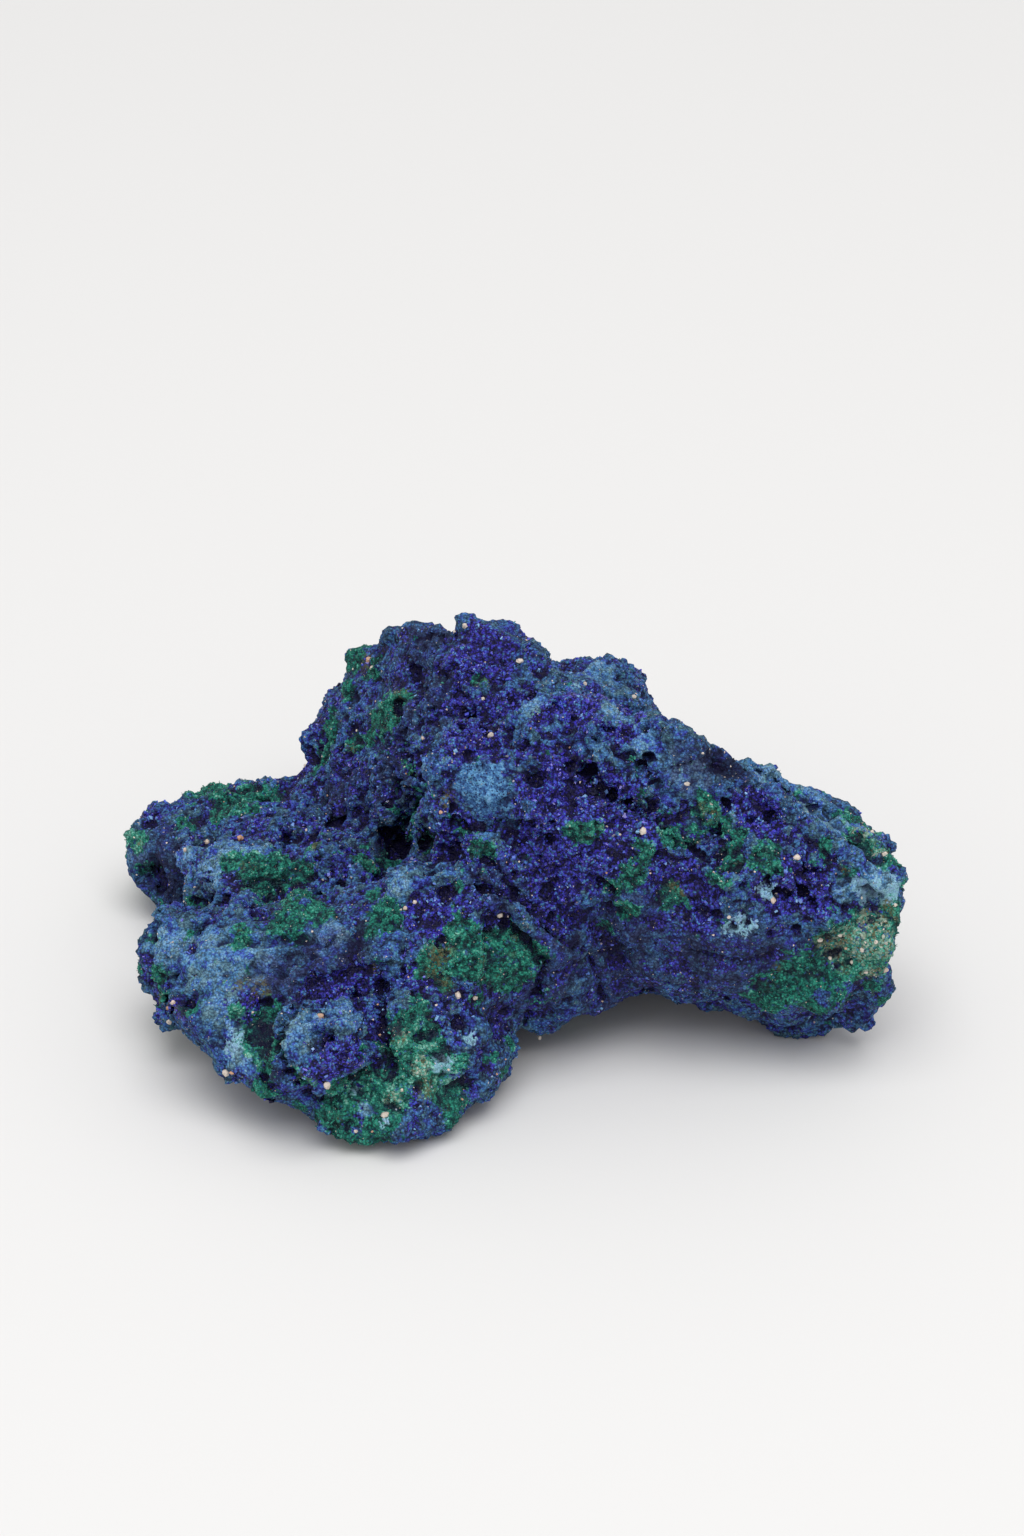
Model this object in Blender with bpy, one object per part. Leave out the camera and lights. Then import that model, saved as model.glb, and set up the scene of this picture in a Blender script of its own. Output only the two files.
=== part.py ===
"""Azurite specimen: one natural lump of azurite and malachite that lies on a flat surface.

Run with  blender --background --python part.py,  or from Blender's text editor.
Units are metres and +Z is up. The origin is under the middle of the lump, on the surface that it lies on.
The lump is a hub with a thick arm to the right (+X), a low lobe to the front left (-Y), a tower behind it,
a short stub to the back left and an arm to the back. It is one grown piece, so it is one object.
"""

import bmesh
import bpy
from mathutils import Matrix, Vector, noise

NAME = "azurite_specimen"
MM = 0.001

# Driving dimensions, in millimetres.
FINE_VOXEL = 0.6          # the grid on which the masses are joined
LAST_VOXEL = 0.7          # the grid that clears folds away after the surface is roughened
BLEND_STEPS = 4           # smoothing passes that round the masses' edges and joints
FULLNESS = 0.3            # what the rounding takes off, put back
TARGET_TRIANGLES = 9300   # what the finished solid is thinned to
SOFTENING = 0.5           # how far one smoothing pass moves a point
FLOOR_CUT = 12.0          # depth of the block that cuts the worn feet flat at Z = 0
FLOOR_CUT_WIDTH = 100.0   # its width, more than the lump's

# Surface relief: the size of each pattern and how far it moves the surface, in millimetres.
SWELL_SIZE, SWELL_HEIGHT = 9.0, 0.7
LUMP_SIZE, LUMP_HEIGHT = 3.4, 1.5
GRAIN_SIZE, GRAIN_HEIGHT = 1.8, 0.7
NODULE_STEEPNESS = 2.2    # how quickly a nodule falls off to its groove
NODULE_LEVEL = 0.55       # the height on a nodule that stays where the masses put it

# Each mass is the hull of its corners, in millimetres.
MASSES = {
    "arm_front": [
        (7.7, -8.9, 29.2), (13.9, -13.0, 28.1), (19.0, -14.6, 25.2), (24.8, -16.7, 21.6), (30.8, -17.5, 17.6),
        (-4.6, -12.0, 27.2), (-6.6, -14.6, 23.2), (-5.2, -15.8, 19.2),
        (8.0, -19.0, 22.2), (20.0, -21.0, 17.5), (31.0, -21.0, 11.6),
        (10.5, -17.6, 10.5), (15.6, -20.2, 9.5), (24.0, -20.0, 6.0), (30.9, -18.2, 5.2),
        (9.0, -13.8, 4.2), (15.5, -12.2, 1.9), (22.0, -13.2, 0.9), (28.6, -15.4, 1.2),
        (10.0, -4.0, 20.0), (22.0, -7.0, 14.0), (28.0, -9.0, 10.0), (20.0, -6.0, 4.0), (8.0, -6.0, 7.0),
        (24.0, -12.5, -1.2),
    ],
    "arm_rear": [
        (15.0, -7.5, 20.8), (20.1, -7.9, 21.3), (23.8, -8.3, 20.5), (27.9, -9.6, 18.6), (30.6, -11.0, 16.6),
        (31.2, -16.0, 16.6), (31.4, -15.0, 10.5), (29.5, -12.0, 4.0), (25.0, -3.0, 4.0), (16.0, -1.0, 7.0),
        (14.0, -1.5, 15.0), (25.5, -3.5, 13.0), (29.6, -7.5, 12.0), (23.0, -8.0, 1.5), (17.0, -5.0, 3.0),
    ],
    "hub": [
        (-5.5, -12.0, 22.0), (8.0, -8.0, 26.0), (-7.5, -16.0, 12.0), (4.0, -17.5, 12.0), (-9.0, -4.0, 8.0),
        (8.0, 0.0, 10.0), (-2.0, -16.0, 1.5), (6.0, -12.0, 1.5), (1.0, -11.0, -1.2), (0.0, 0.0, 2.0),
        (10.5, -11.0, 5.0), (-2.0, -5.0, 23.0), (6.0, -3.0, 22.0), (11.0, -2.0, 17.5),
    ],
    "back_bulk": [
        (4.0, 2.0, 20.5), (13.0, -1.0, 15.5), (19.5, 1.0, 11.0), (18.5, 9.0, 7.8), (12.5, 15.0, 9.0),
        (3.0, 13.0, 13.5), (19.5, 0.0, 3.0), (17.0, 8.0, 1.0), (10.0, 14.0, 2.0), (-3.0, 12.0, 2.0),
        (6.0, -2.0, 3.0), (14.0, -5.0, 15.0), (20.0, -5.0, 9.0), (19.0, -6.0, 4.0), (-1.0, 9.0, 18.0), (-3.0, 14.0, 14.0),
    ],
    "lobe": [
        (-24.0, -19.0, 12.2), (-15.6, -23.0, 12.8), (-6.3, -20.2, 15.8), (-1.6, -18.9, 19.6),
        (-1.2, -24.6, 13.2), (0.0, -24.0, 2.0), (1.4, -20.6, 2.4), (-7.8, -32.5, 2.3), (-8.5, -28.0, -1.2),
        (-2.4, -28.4, 1.4), (-26.0, -24.0, 9.4), (-25.8, -21.5, 6.5), (-21.0, -27.9, 5.5), (-17.2, -28.9, 3.7),
        (-11.9, -31.8, 0.6), (-20.0, -19.0, 2.0), (-8.0, -14.0, 1.5), (-20.0, -11.0, 11.0), (-8.0, -10.0, 13.0),
    ],
    "nose": [
        (-18.2, -28.9, 9.2), (-16.2, -27.6, 12.2), (-11.8, -27.6, 12.5), (-9.8, -29.0, 9.7), (-14.0, -31.8, 10.0),
        (-17.2, -30.8, 6.4), (-10.8, -31.4, 6.8), (-13.8, -32.2, 6.8), (-14.0, -28.5, 3.0), (-14.0, -22.0, 8.0),
    ],
    "corner": [
        (-29.4, -13.6, 8.0), (-28.8, -15.2, 5.0), (-28.2, -11.5, 10.0), (-26.5, -8.5, 5.0), (-22.0, -12.0, 11.0),
        (-26.3, -18.0, 3.4), (-25.5, -17.0, 11.0), (-18.0, -8.0, 2.0), (-22.0, -18.0, 2.0),
    ],
    "saddle": [
        (-24.4, -8.0, 11.2), (-22.2, -4.5, 12.6), (-16.0, -0.5, 12.2), (-10.0, -4.0, 12.6), (-9.0, -12.0, 13.2),
        (-18.0, -15.0, 12.4), (-26.6, -4.0, 6.8), (-25.8, 0.0, 8.6), (-25.0, -3.0, 2.5), (-14.0, 4.0, 1.5), (-16.0, 5.0, 10.0),
        (-10.0, -10.0, 1.0), (-8.0, 2.0, 4.0), (-19.0, -5.0, 0.5),
    ],
    "ledge": [
        (-0.5, -20.8, 18.0), (2.3, -21.5, 16.0), (5.4, -21.0, 11.6), (7.6, -19.6, 8.4), (8.8, -17.6, 5.4),
        (7.0, -17.0, 3.2), (2.4, -18.9, 2.2), (0.0, -21.0, 6.0), (-2.0, -18.0, 14.0), (3.5, -14.5, 0.5),
        (9.0, -12.0, 4.0), (8.6, -15.0, 12.0),
    ],
    "stub": [
        (-31.5, 5.2, 5.6), (-30.9, 9.0, 6.0), (-29.6, 8.0, 8.6), (-31.4, 4.0, 3.0), (-25.4, 10.0, 8.9),
        (-30.5, 2.6, 5.4), (-29.0, 3.0, 1.0),
        (-25.0, 3.0, 8.6), (-18.9, 10.0, 9.2), (-14.0, 3.0, 10.4), (-29.0, 10.0, 1.5), (-18.0, 14.0, 2.0),
        (-26.5, 2.4, 0.8), (-24.0, 6.5, -1.2), (-24.0, 13.5, 6.0), (-14.0, 0.0, 3.0), (-10.0, 12.0, 8.0),
        (-10.0, 10.0, 2.0),
    ],
    "tower": [
        (-12.9, 16.8, 17.4), (-11.0, 13.2, 21.8), (-15.5, 14.6, 13.6), (-16.9, 11.6, 10.4), (-8.8, 10.2, 24.2), (-4.4, 4.3, 28.4),
        (-2.8, 2.8, 29.3), (-0.5, 1.4, 29.6), (3.3, -3.9, 27.2), (7.6, -6.2, 26.4), (-4.0, -8.0, 22.0),
        (-10.3, -5.5, 14.0), (-11.0, 5.0, 16.0), (-16.0, 8.0, 10.2), (-7.0, 18.0, 15.0), (2.0, 8.0, 22.5),
        (5.0, 7.0, 12.0), (-14.5, 14.0, 3.0), (-5.0, 18.0, 2.0), (6.0, 4.0, 3.0), (-8.0, 13.0, -1.2),
        (-13.0, 18.0, 10.0),
    ],
    "rear_arm": [
        (9.2, 25.0, 13.8), (5.0, 25.0, 13.4), (13.4, 24.2, 11.4), (14.4, 21.0, 7.0), (12.0, 29.0, 8.5),
        (5.0, 30.0, 8.0), (1.0, 27.0, 7.0), (13.5, 26.0, 3.5), (6.0, 29.0, 2.0), (1.0, 25.0, 3.0),
        (-2.0, 13.0, 15.5), (7.0, 11.0, 15.0), (-3.0, 15.0, 2.0), (10.0, 12.0, 2.0), (7.0, 25.0, -1.2),
    ],
}

# Hollows in the surface: the middle, the radius and the depth, in millimetres.
HOLLOWS = {
    "pocket under the tower": ((-6.9, -8.4, 14.4), 4.0, 3.0),
    "pocket, upper end": ((-8.0, -5.0, 17.0), 2.2, 1.2),
    "saddle": ((-16.8, -11.5, 12.6), 4.6, 2.2),
    "saddle notch": ((-12.5, -3.0, 13.5), 2.8, 1.6),
    "crevice, upper": ((1.4, -17.0, 15.2), 2.4, 1.7),
    "crevice, middle": ((4.8, -17.0, 12.2), 2.2, 1.1),
    "crevice, lower": ((8.4, -17.0, 9.0), 2.0, 0.6),
    "arm pit": ((12.9, -16.8, 22.6), 2.0, 1.3),
    "arm pit, left": ((6.3, -14.5, 26.0), 1.7, 1.0),
    "lobe pit": ((-12.8, -18.0, 13.0), 1.6, 1.1),
    "nose pit": ((-13.9, -30.6, 9.9), 1.6, 1.3),
    "groove left of the nose": ((-18.6, -28.9, 8.6), 2.2, 1.7),
    "groove right of the nose": ((-9.0, -28.8, 9.2), 2.0, 1.4),
    "groove over the nose": ((-13.4, -26.2, 12.2), 1.7, 0.9),
    "stub end": ((-30.0, 3.4, 6.4), 2.2, 0.8),
    "crest notch": ((16.2, -13.8, 27.2), 1.8, 0.9),
    "back": ((3.0, 19.0, 14.0), 3.6, 1.6),
    "back right": ((20.5, 5.0, 8.0), 3.2, 1.5),
    "back left": ((-15.5, 18.0, 6.0), 3.2, 1.6),
}


def add_mass(bm, corners):
    made = [bm.verts.new(Vector(corner) * MM) for corner in corners]
    hull = bmesh.ops.convex_hull(bm, input=made)
    inside = {item for item in hull["geom_interior"] + hull["geom_unused"] if isinstance(item, bmesh.types.BMVert)}
    bmesh.ops.delete(bm, geom=list(inside), context="VERTS")


def joined_masses():
    """One mesh object that holds every mass, still overlapping."""
    bm = bmesh.new()
    for corners in MASSES.values():
        add_mass(bm, corners)
    mesh = bpy.data.meshes.new(NAME)
    bm.to_mesh(mesh)
    bm.free()
    obj = bpy.data.objects.new(NAME, mesh)
    bpy.context.scene.collection.objects.link(obj)
    return obj


def add_remesh(obj, voxel):
    remesh = obj.modifiers.new("join", "REMESH")
    remesh.mode = "VOXEL"
    remesh.voxel_size = voxel * MM
    remesh.use_smooth_shade = True


def apply_modifiers(obj):
    graph = bpy.context.evaluated_depsgraph_get()
    finished = bpy.data.meshes.new_from_object(obj.evaluated_get(graph))
    obj.modifiers.clear()
    old = obj.data
    obj.data = finished
    bpy.data.meshes.remove(old)


def nodules(point, size):
    """1 at the middle of each rounded nodule and 0 in the grooves between nodules."""
    distances, _ = noise.voronoi(point / (size * MM))
    return max(0.0, 1.0 - distances[0] ** 2 * NODULE_STEEPNESS)


def hollow_depth(point):
    """How deep this point lies in the hollows, in millimetres."""
    depth = 0.0
    for middle, radius, deepest in HOLLOWS.values():
        near = (point / MM - Vector(middle)).length / radius
        if near < 1.0:
            depth += deepest * (1.0 - near * near) ** 2
    return depth


def relief(point):
    """How far the surface moves outwards at this point, in metres."""
    swell = noise.noise(point / (SWELL_SIZE * MM)) * SWELL_HEIGHT
    lumps = (nodules(point, LUMP_SIZE) - NODULE_LEVEL) * LUMP_HEIGHT
    grain = noise.fractal(point / (GRAIN_SIZE * MM), 1.0, 2.0, 2) * GRAIN_HEIGHT
    return (FULLNESS + swell + lumps + grain - hollow_depth(point)) * MM


def roughen(obj):
    mesh = obj.data
    moved = [v.co + v.normal * relief(v.co) for v in mesh.vertices]
    for vert, place in zip(mesh.vertices, moved):
        vert.co = place
    mesh.update()


def centre_on_origin(obj):
    """Puts the middle of the outline over the origin."""
    xs = [v.co.x for v in obj.data.vertices]
    ys = [v.co.y for v in obj.data.vertices]
    shift = Vector((-(min(xs) + max(xs)) / 2, -(min(ys) + max(ys)) / 2, 0.0))
    print("centring shift mm", [round(c / MM, 2) for c in shift])
    obj.data.transform(Matrix.Translation(shift))


def add_floor_cut(obj):
    """A block under Z = 0 that leaves the feet flat."""
    bm = bmesh.new()
    bmesh.ops.create_cube(bm, size=1.0)
    bmesh.ops.scale(bm, vec=Vector((FLOOR_CUT_WIDTH, FLOOR_CUT_WIDTH, FLOOR_CUT)) * MM, verts=bm.verts)
    bmesh.ops.translate(bm, vec=Vector((0.0, 0.0, -FLOOR_CUT / 2)) * MM, verts=bm.verts)
    mesh = bpy.data.meshes.new("floor_cutter")
    bm.to_mesh(mesh)
    bm.free()
    cutter = bpy.data.objects.new("floor_cutter", mesh)
    bpy.context.scene.collection.objects.link(cutter)
    cutter.hide_render = True
    cutter.display_type = "WIRE"
    cut = obj.modifiers.new("worn feet", "BOOLEAN")
    cut.operation = "DIFFERENCE"
    cut.solver = "EXACT"
    cut.object = cutter


def stone_material():
    material = bpy.data.materials.new("azurite")
    material.use_nodes = True
    shader = material.node_tree.nodes["Principled BSDF"]
    shader.inputs["Base Color"].default_value = (0.035, 0.075, 0.30, 1.0)
    shader.inputs["Roughness"].default_value = 0.55
    shader.inputs["Metallic"].default_value = 0.0
    return material


def main():
    for obj in list(bpy.data.objects):
        bpy.data.objects.remove(obj)
    stone = joined_masses()
    add_remesh(stone, FINE_VOXEL)
    soften = stone.modifiers.new("soften", "SMOOTH")
    soften.factor = SOFTENING
    soften.iterations = BLEND_STEPS
    apply_modifiers(stone)
    roughen(stone)
    add_remesh(stone, LAST_VOXEL)
    apply_modifiers(stone)
    triangles = sum(len(p.vertices) - 2 for p in stone.data.polygons)
    thin = stone.modifiers.new("thin", "DECIMATE")
    thin.ratio = TARGET_TRIANGLES / triangles
    thin.use_collapse_triangulate = True
    apply_modifiers(stone)
    centre_on_origin(stone)
    add_floor_cut(stone)
    stone.data.materials.append(stone_material())


main()
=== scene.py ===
# Azurite specimen: the rough crust, the fine crystals, the malachite and the loose grains,
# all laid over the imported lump. Lengths in the dictionaries are millimetres.

import math

import bmesh
import bpy
import numpy as np
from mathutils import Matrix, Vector, noise
from mathutils.bvhtree import BVHTree


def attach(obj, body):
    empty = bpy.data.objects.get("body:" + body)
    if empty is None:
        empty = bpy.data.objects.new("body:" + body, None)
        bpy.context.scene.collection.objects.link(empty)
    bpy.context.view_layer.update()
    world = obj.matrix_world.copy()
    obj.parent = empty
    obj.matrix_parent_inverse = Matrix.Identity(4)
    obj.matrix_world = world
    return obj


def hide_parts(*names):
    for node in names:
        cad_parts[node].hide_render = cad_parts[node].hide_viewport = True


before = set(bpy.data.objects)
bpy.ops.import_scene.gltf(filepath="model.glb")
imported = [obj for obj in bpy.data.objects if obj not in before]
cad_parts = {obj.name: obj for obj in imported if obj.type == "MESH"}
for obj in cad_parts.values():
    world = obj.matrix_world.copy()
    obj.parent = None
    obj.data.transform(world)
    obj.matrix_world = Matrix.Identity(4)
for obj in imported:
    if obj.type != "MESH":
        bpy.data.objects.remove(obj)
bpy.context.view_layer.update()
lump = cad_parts["azurite_specimen"]
mm = 0.001

# ---- the camera comes first, because many spots on the stone are placed as it sees them

view = {
    "aim": (0.55, -14.60, 25.7),
    "distance": 400.0,
    "elevation": 30.0,
    "pixelsPerMm": 12.9,
    "width": 1024,
    "height": 1536,
    "sensor": 36.0,
}
tilt = math.radians(view["elevation"])
right = Vector((1.0, 0.0, 0.0))
up = Vector((0.0, math.sin(tilt), math.cos(tilt)))
forward = Vector((0.0, math.cos(tilt), -math.sin(tilt)))
eye = Vector(view["aim"]) * mm - forward * view["distance"] * mm


def addCamera():
    data = bpy.data.cameras.new("camera")
    data.sensor_width = view["sensor"]
    data.lens = view["sensor"] * view["distance"] * view["pixelsPerMm"] / view["height"]
    data.clip_start = 0.01
    data.clip_end = 20.0
    camera = bpy.data.objects.new("camera", data)
    camera.location = eye
    camera.rotation_euler = (math.radians(90.0 - view["elevation"]), 0.0, 0.0)
    bpy.context.scene.collection.objects.link(camera)
    bpy.context.scene.camera = camera


addCamera()
print("camera ready")

# ---- spots on the stone
# Each spot is (across, down) in the 1024 x 1536 frame, then its radius in millimetres.

spots = {}
spots["green"] = {
    "stub": [(205, 790, 2.4), (236, 800, 3.0), (262, 798, 1.6), (190, 822, 1.3), (135, 838, 1.4)],
    "saddle": [(255, 870, 1.9), (285, 870, 2.2), (300, 895, 2.4), (265, 895, 2.0), (285, 922, 2.1),
        (312, 915, 1.7), (240, 936, 1.2), (232, 862, 1.0), (312, 845, 0.8)],
    "pocket": [(368, 862, 1.2), (392, 862, 1.3), (385, 915, 1.5), (374, 928, 1.0), (372, 892, 0.8)],
    "corner": [(158, 975, 1.2), (160, 996, 1.0), (190, 1006, 0.9)],
    "noseSide": [(262, 1035, 1.9), (270, 1055, 1.5), (256, 1050, 1.1), (272, 1012, 1.1), (240, 1012, 0.8)],
    "noseFoot": [(360, 1085, 2.0), (343, 1087, 1.4), (378, 1085, 1.5), (388, 1096, 2.0), (362, 1050, 0.6),
        (290, 1078, 0.9), (303, 1086, 0.9)],
    "frontRidge": [(400, 1030, 1.6), (412, 1045, 2.0), (420, 1065, 2.3), (405, 1075, 1.9), (395, 1060, 1.2),
        (440, 1060, 1.5), (386, 1018, 0.9), (418, 1000, 0.9)],
    "tip": [(440, 1085, 1.4), (455, 1095, 1.5), (458, 1110, 1.4), (392, 1104, 1.6), (350, 1102, 1.5),
        (330, 1107, 1.4), (360, 1131, 1.7), (341, 1135, 1.2), (385, 1126, 1.4), (455, 1120, 1.1)],
    "rim": [(255, 1088, 0.8), (270, 1096, 0.9), (300, 1108, 0.9), (320, 1116, 1.0)],
    "flank": [(465, 950, 2.5), (446, 957, 1.5), (485, 962, 2.2), (505, 957, 2.5), (519, 962, 1.9),
        (500, 936, 1.2), (470, 936, 1.0), (510, 980, 1.4), (425, 965, 1.1), (442, 985, 1.0)],
    "flankFoot": [(480, 1000, 0.7), (474, 998, 0.5), (425, 1015, 0.8), (432, 1026, 0.9), (510, 1045, 0.8),
        (463, 1062, 1.0), (505, 1072, 0.8), (465, 1030, 0.5)],
    "armPocket": [(708, 815, 1.5), (700, 825, 1.2), (722, 824, 1.0), (672, 822, 1.2), (678, 835, 1.1),
        (690, 839, 0.9), (722, 812, 0.8)],
    "armFace": [(585, 832, 1.3), (572, 830, 0.9), (597, 832, 0.9), (727, 848, 1.1), (736, 838, 1.0),
        (730, 860, 1.0), (766, 858, 1.5), (773, 850, 0.9), (758, 865, 0.9), (713, 880, 0.8), (721, 883, 0.6),
        (640, 862, 1.1), (632, 872, 1.1), (628, 881, 1.1), (645, 852, 0.8), (640, 842, 0.5), (612, 889, 0.9),
        (604, 884, 0.7), (672, 893, 1.1), (667, 899, 0.9), (680, 901, 0.7), (625, 908, 1.1), (634, 909, 0.8),
        (815, 862, 0.6), (825, 845, 0.7), (850, 869, 0.9), (745, 888, 0.5), (605, 926, 0.7)],
    "armEnd": [(850, 931, 2.1), (870, 936, 2.5), (835, 946, 1.8), (885, 945, 2.0), (860, 956, 2.4),
        (885, 921, 1.6), (895, 862, 1.0), (901, 884, 0.7), (820, 956, 1.5), (806, 963, 1.7), (791, 971, 1.3),
        (830, 970, 1.9), (893, 906, 1.1), (876, 966, 1.7)],
    "armFoot": [(775, 990, 2.1), (756, 1003, 1.5), (790, 988, 1.8), (803, 986, 1.5), (766, 1010, 1.1),
        (815, 1010, 1.3), (840, 994, 1.1), (846, 1001, 1.0), (870, 985, 0.8), (885, 1000, 0.9)],
    "backRight": [(858, 838, 1.2), (865, 846, 1.4), (876, 848, 1.3), (862, 822, 0.8), (881, 860, 0.9),
        (848, 816, 0.9), (800, 790, 0.7), (769, 785, 0.5), (872, 832, 1.0)],
    "tower": [(354, 655, 1.5), (380, 710, 2.3), (392, 700, 1.7), (370, 726, 1.5), (346, 690, 1.1),
        (331, 730, 1.7), (320, 758, 1.6), (355, 746, 1.0), (373, 666, 1.1), (478, 684, 0.8)],
    "neck": [(478, 846, 1.0), (488, 850, 0.8), (365, 846, 0.5), (459, 884, 0.5)],
}
spots["druse"] = {
    "crest": [(480, 715, 1.5), (510, 708, 1.5), (560, 715, 1.9), (600, 700, 2.4), (620, 722, 1.8),
        (470, 745, 2.0), (490, 750, 1.6), (455, 700, 1.2)],
    "armPocket": [(600, 835, 2.4), (640, 860, 2.2), (560, 850, 2.0), (655, 835, 1.5)],
    "brow": [(530, 790, 2.3), (560, 788, 2.5), (590, 785, 2.5), (600, 802, 2.3), (560, 812, 2.3),
        (580, 816, 1.9), (620, 790, 1.5), (550, 836, 2.4), (600, 860, 2.3), (530, 760, 1.2)],
    "armFace": [(680, 880, 2.1), (700, 891, 1.7), (700, 906, 1.9), (780, 885, 2.1), (800, 890, 2.4),
        (816, 896, 1.7), (760, 815, 1.9), (750, 805, 1.5), (560, 880, 2.4), (560, 905, 1.8)],
    "neck": [(460, 835, 1.7), (449, 850, 1.5), (470, 852, 1.1), (440, 900, 1.5), (425, 905, 1.4),
        (410, 916, 1.2), (440, 925, 1.2)],
    "nose": [(332, 1062, 1.8), (352, 1046, 1.4), (310, 1068, 1.2)],
    "lobe": [(240, 1000, 1.5), (255, 1006, 1.1), (180, 1000, 1.4), (190, 950, 1.2), (330, 980, 2.3),
        (308, 986, 1.8), (352, 976, 1.6), (430, 1026, 1.1), (415, 976, 1.1), (325, 1065, 1.5)],
    "tower": [(470, 660, 2.3), (482, 640, 1.9), (458, 650, 1.5), (500, 671, 1.1), (300, 770, 1.2)],
}
spots["powder"] = {
    "nodule": [(487, 788, 2.4)],
    "pebbles": [(432, 747, 1.6), (530, 766, 0.8), (528, 806, 0.7), (555, 728, 1.1), (597, 745, 1.5),
        (515, 736, 0.8), (530, 702, 1.5), (612, 712, 1.6), (572, 738, 0.9)],
    "lobe": [(230, 965, 4.2), (280, 960, 3.2), (200, 975, 2.6), (330, 943, 2.6), (380, 933, 2.2),
        (215, 1045, 2.3), (180, 930, 1.8), (160, 935, 1.8)],
    "nose": [(298, 1045, 2.1), (350, 1012, 2.3), (300, 1010, 1.6)],
    "neck": [(425, 876, 1.9), (400, 886, 1.7), (238, 848, 2.0), (256, 846, 1.8), (195, 880, 1.7)],
    "stub": [(150, 850, 2.2), (172, 872, 2.0), (122, 835, 1.6), (140, 885, 1.8)],
    "tower": [(440, 690, 1.5), (402, 722, 1.6), (425, 640, 1.5), (385, 770, 1.4), (350, 700, 1.3)],
    "arm": [(690, 758, 2.6), (690, 776, 2.1), (716, 781, 1.4), (648, 742, 1.8), (535, 702, 1.2),
        (845, 885, 1.3), (870, 862, 1.2), (875, 884, 1.6), (888, 890, 1.2), (860, 996, 1.0)],
    "back": [(600, 680, 3.0), (800, 800, 2.8), (770, 775, 2.2), (835, 822, 2.4), (862, 845, 2.0)],
}
spots["frost"] = {
    "lobe": [(237, 1034, 0.6), (232, 1047, 0.8), (320, 1015, 0.5)],
    "ridge": [(441, 1063, 0.8), (446, 1072, 0.5), (470, 1038, 0.6), (385, 1121, 0.5), (354, 1088, 0.5)],
    "armEnd": [(872, 887, 1.4), (887, 890, 1.1), (858, 884, 0.8), (894, 878, 0.7)],
    "arm": [(740, 924, 0.9), (729, 930, 0.7), (751, 925, 0.5), (770, 894, 0.7), (761, 889, 0.5),
        (586, 684, 0.4), (577, 688, 0.4), (886, 890, 0.7), (866, 948, 0.4)],
}
spots["ochre"] = {
    "armEnd": [(868, 912, 0.4), (832, 945, 0.7), (824, 939, 0.6), (845, 942, 0.6), (876, 970, 0.5),
        (888, 905, 0.5), (884, 838, 0.5), (876, 828, 0.6)],
    "flank": [(440, 955, 0.9), (445, 986, 0.7), (435, 970, 0.7), (426, 1090, 0.9)],
    "lobe": [(242, 986, 0.8), (260, 989, 0.8), (373, 970, 0.4), (227, 1073, 0.3)],
    "tower": [(366, 660, 0.9), (447, 800, 0.8), (441, 812, 0.4)],
}
spots["speckled"] = {
    "nodule": [(486, 788, 2.3)],
}
spots["slate"] = {
    "tower": [(440, 690, 3.5), (400, 720, 3.5), (390, 770, 3.5), (420, 640, 3.0), (340, 790, 3.0)],
    "ledge": [(560, 960, 3.5), (500, 880, 2.5), (540, 1000, 3.0)],
    "arm": [(640, 930, 4.0), (700, 960, 4.5), (760, 970, 4.0), (690, 770, 2.2), (620, 980, 4.0)],
    "stub": [(170, 880, 3.0), (150, 850, 3.0)],
    "lobe": [(330, 965, 3.0), (280, 985, 2.5)],
}
spots["cream"] = {
    "endFace": [(845, 935, 1.3), (868, 925, 1.5), (860, 950, 1.3), (835, 950, 1.2), (882, 945, 1.4),
        (873, 972, 1.0)],
    "endTop": [(865, 832, 1.0), (882, 850, 1.0)],
    "ridge": [(420, 1065, 0.9), (400, 1035, 0.7), (392, 1100, 0.7)],
}
spots["pale"] = {
    "lobe": [(215, 960, 2.8), (165, 940, 2.2), (250, 955, 2.2), (225, 1010, 1.8), (240, 1060, 1.4),
        (345, 1010, 1.6)],
    "stub": [(236, 848, 2.0), (255, 845, 1.5), (210, 858, 1.3), (133, 845, 1.8), (182, 864, 1.7),
        (206, 880, 1.5)],
    "arm": [(690, 772, 1.8), (600, 682, 2.4), (640, 742, 1.4), (530, 705, 1.2), (845, 886, 1.2),
        (874, 884, 1.7), (890, 890, 1.3), (800, 800, 2.4), (840, 825, 2.2), (770, 778, 1.8), (530, 702, 1.0),
        (612, 712, 1.1), (862, 845, 1.6)],
    "nose": [(300, 1030, 1.5), (345, 1005, 1.2)],
    "ridge": [(425, 1050, 2.0), (441, 1075, 1.8), (400, 1092, 1.5), (360, 1100, 1.4), (860, 945, 1.8),
        (880, 950, 1.5), (850, 965, 1.2)],
    "saddle": [(395, 885, 1.3), (330, 935, 1.4)],
}
# Dark spots: painted shade in the pockets, the chip, the crevice, under the brow and on shaded faces of the
# stub and lobe.
spots["dark"] = {
    "chip": [(716, 763, 1.2), (730, 769, 1.2), (744, 776, 0.9), (703, 755, 0.8)],
    "stub": [(150, 870, 1.3), (155, 885, 1.0)],
    "pocket": [(402, 847, 1.6), (385, 845, 1.2), (358, 825, 1.0)],
    "lobe": [(182, 1003, 1.0), (262, 1036, 1.2), (266, 1052, 0.9), (275, 1075, 0.9), (319, 1040, 0.9),
        (392, 1030, 0.8), (388, 1060, 0.7)],
    "brow": [(600, 790, 1.2), (575, 766, 0.9), (640, 802, 1.0), (530, 776, 0.8)],
    "crevice": [(512, 892, 0.7), (545, 918, 0.8), (575, 944, 0.8)],
}
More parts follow.
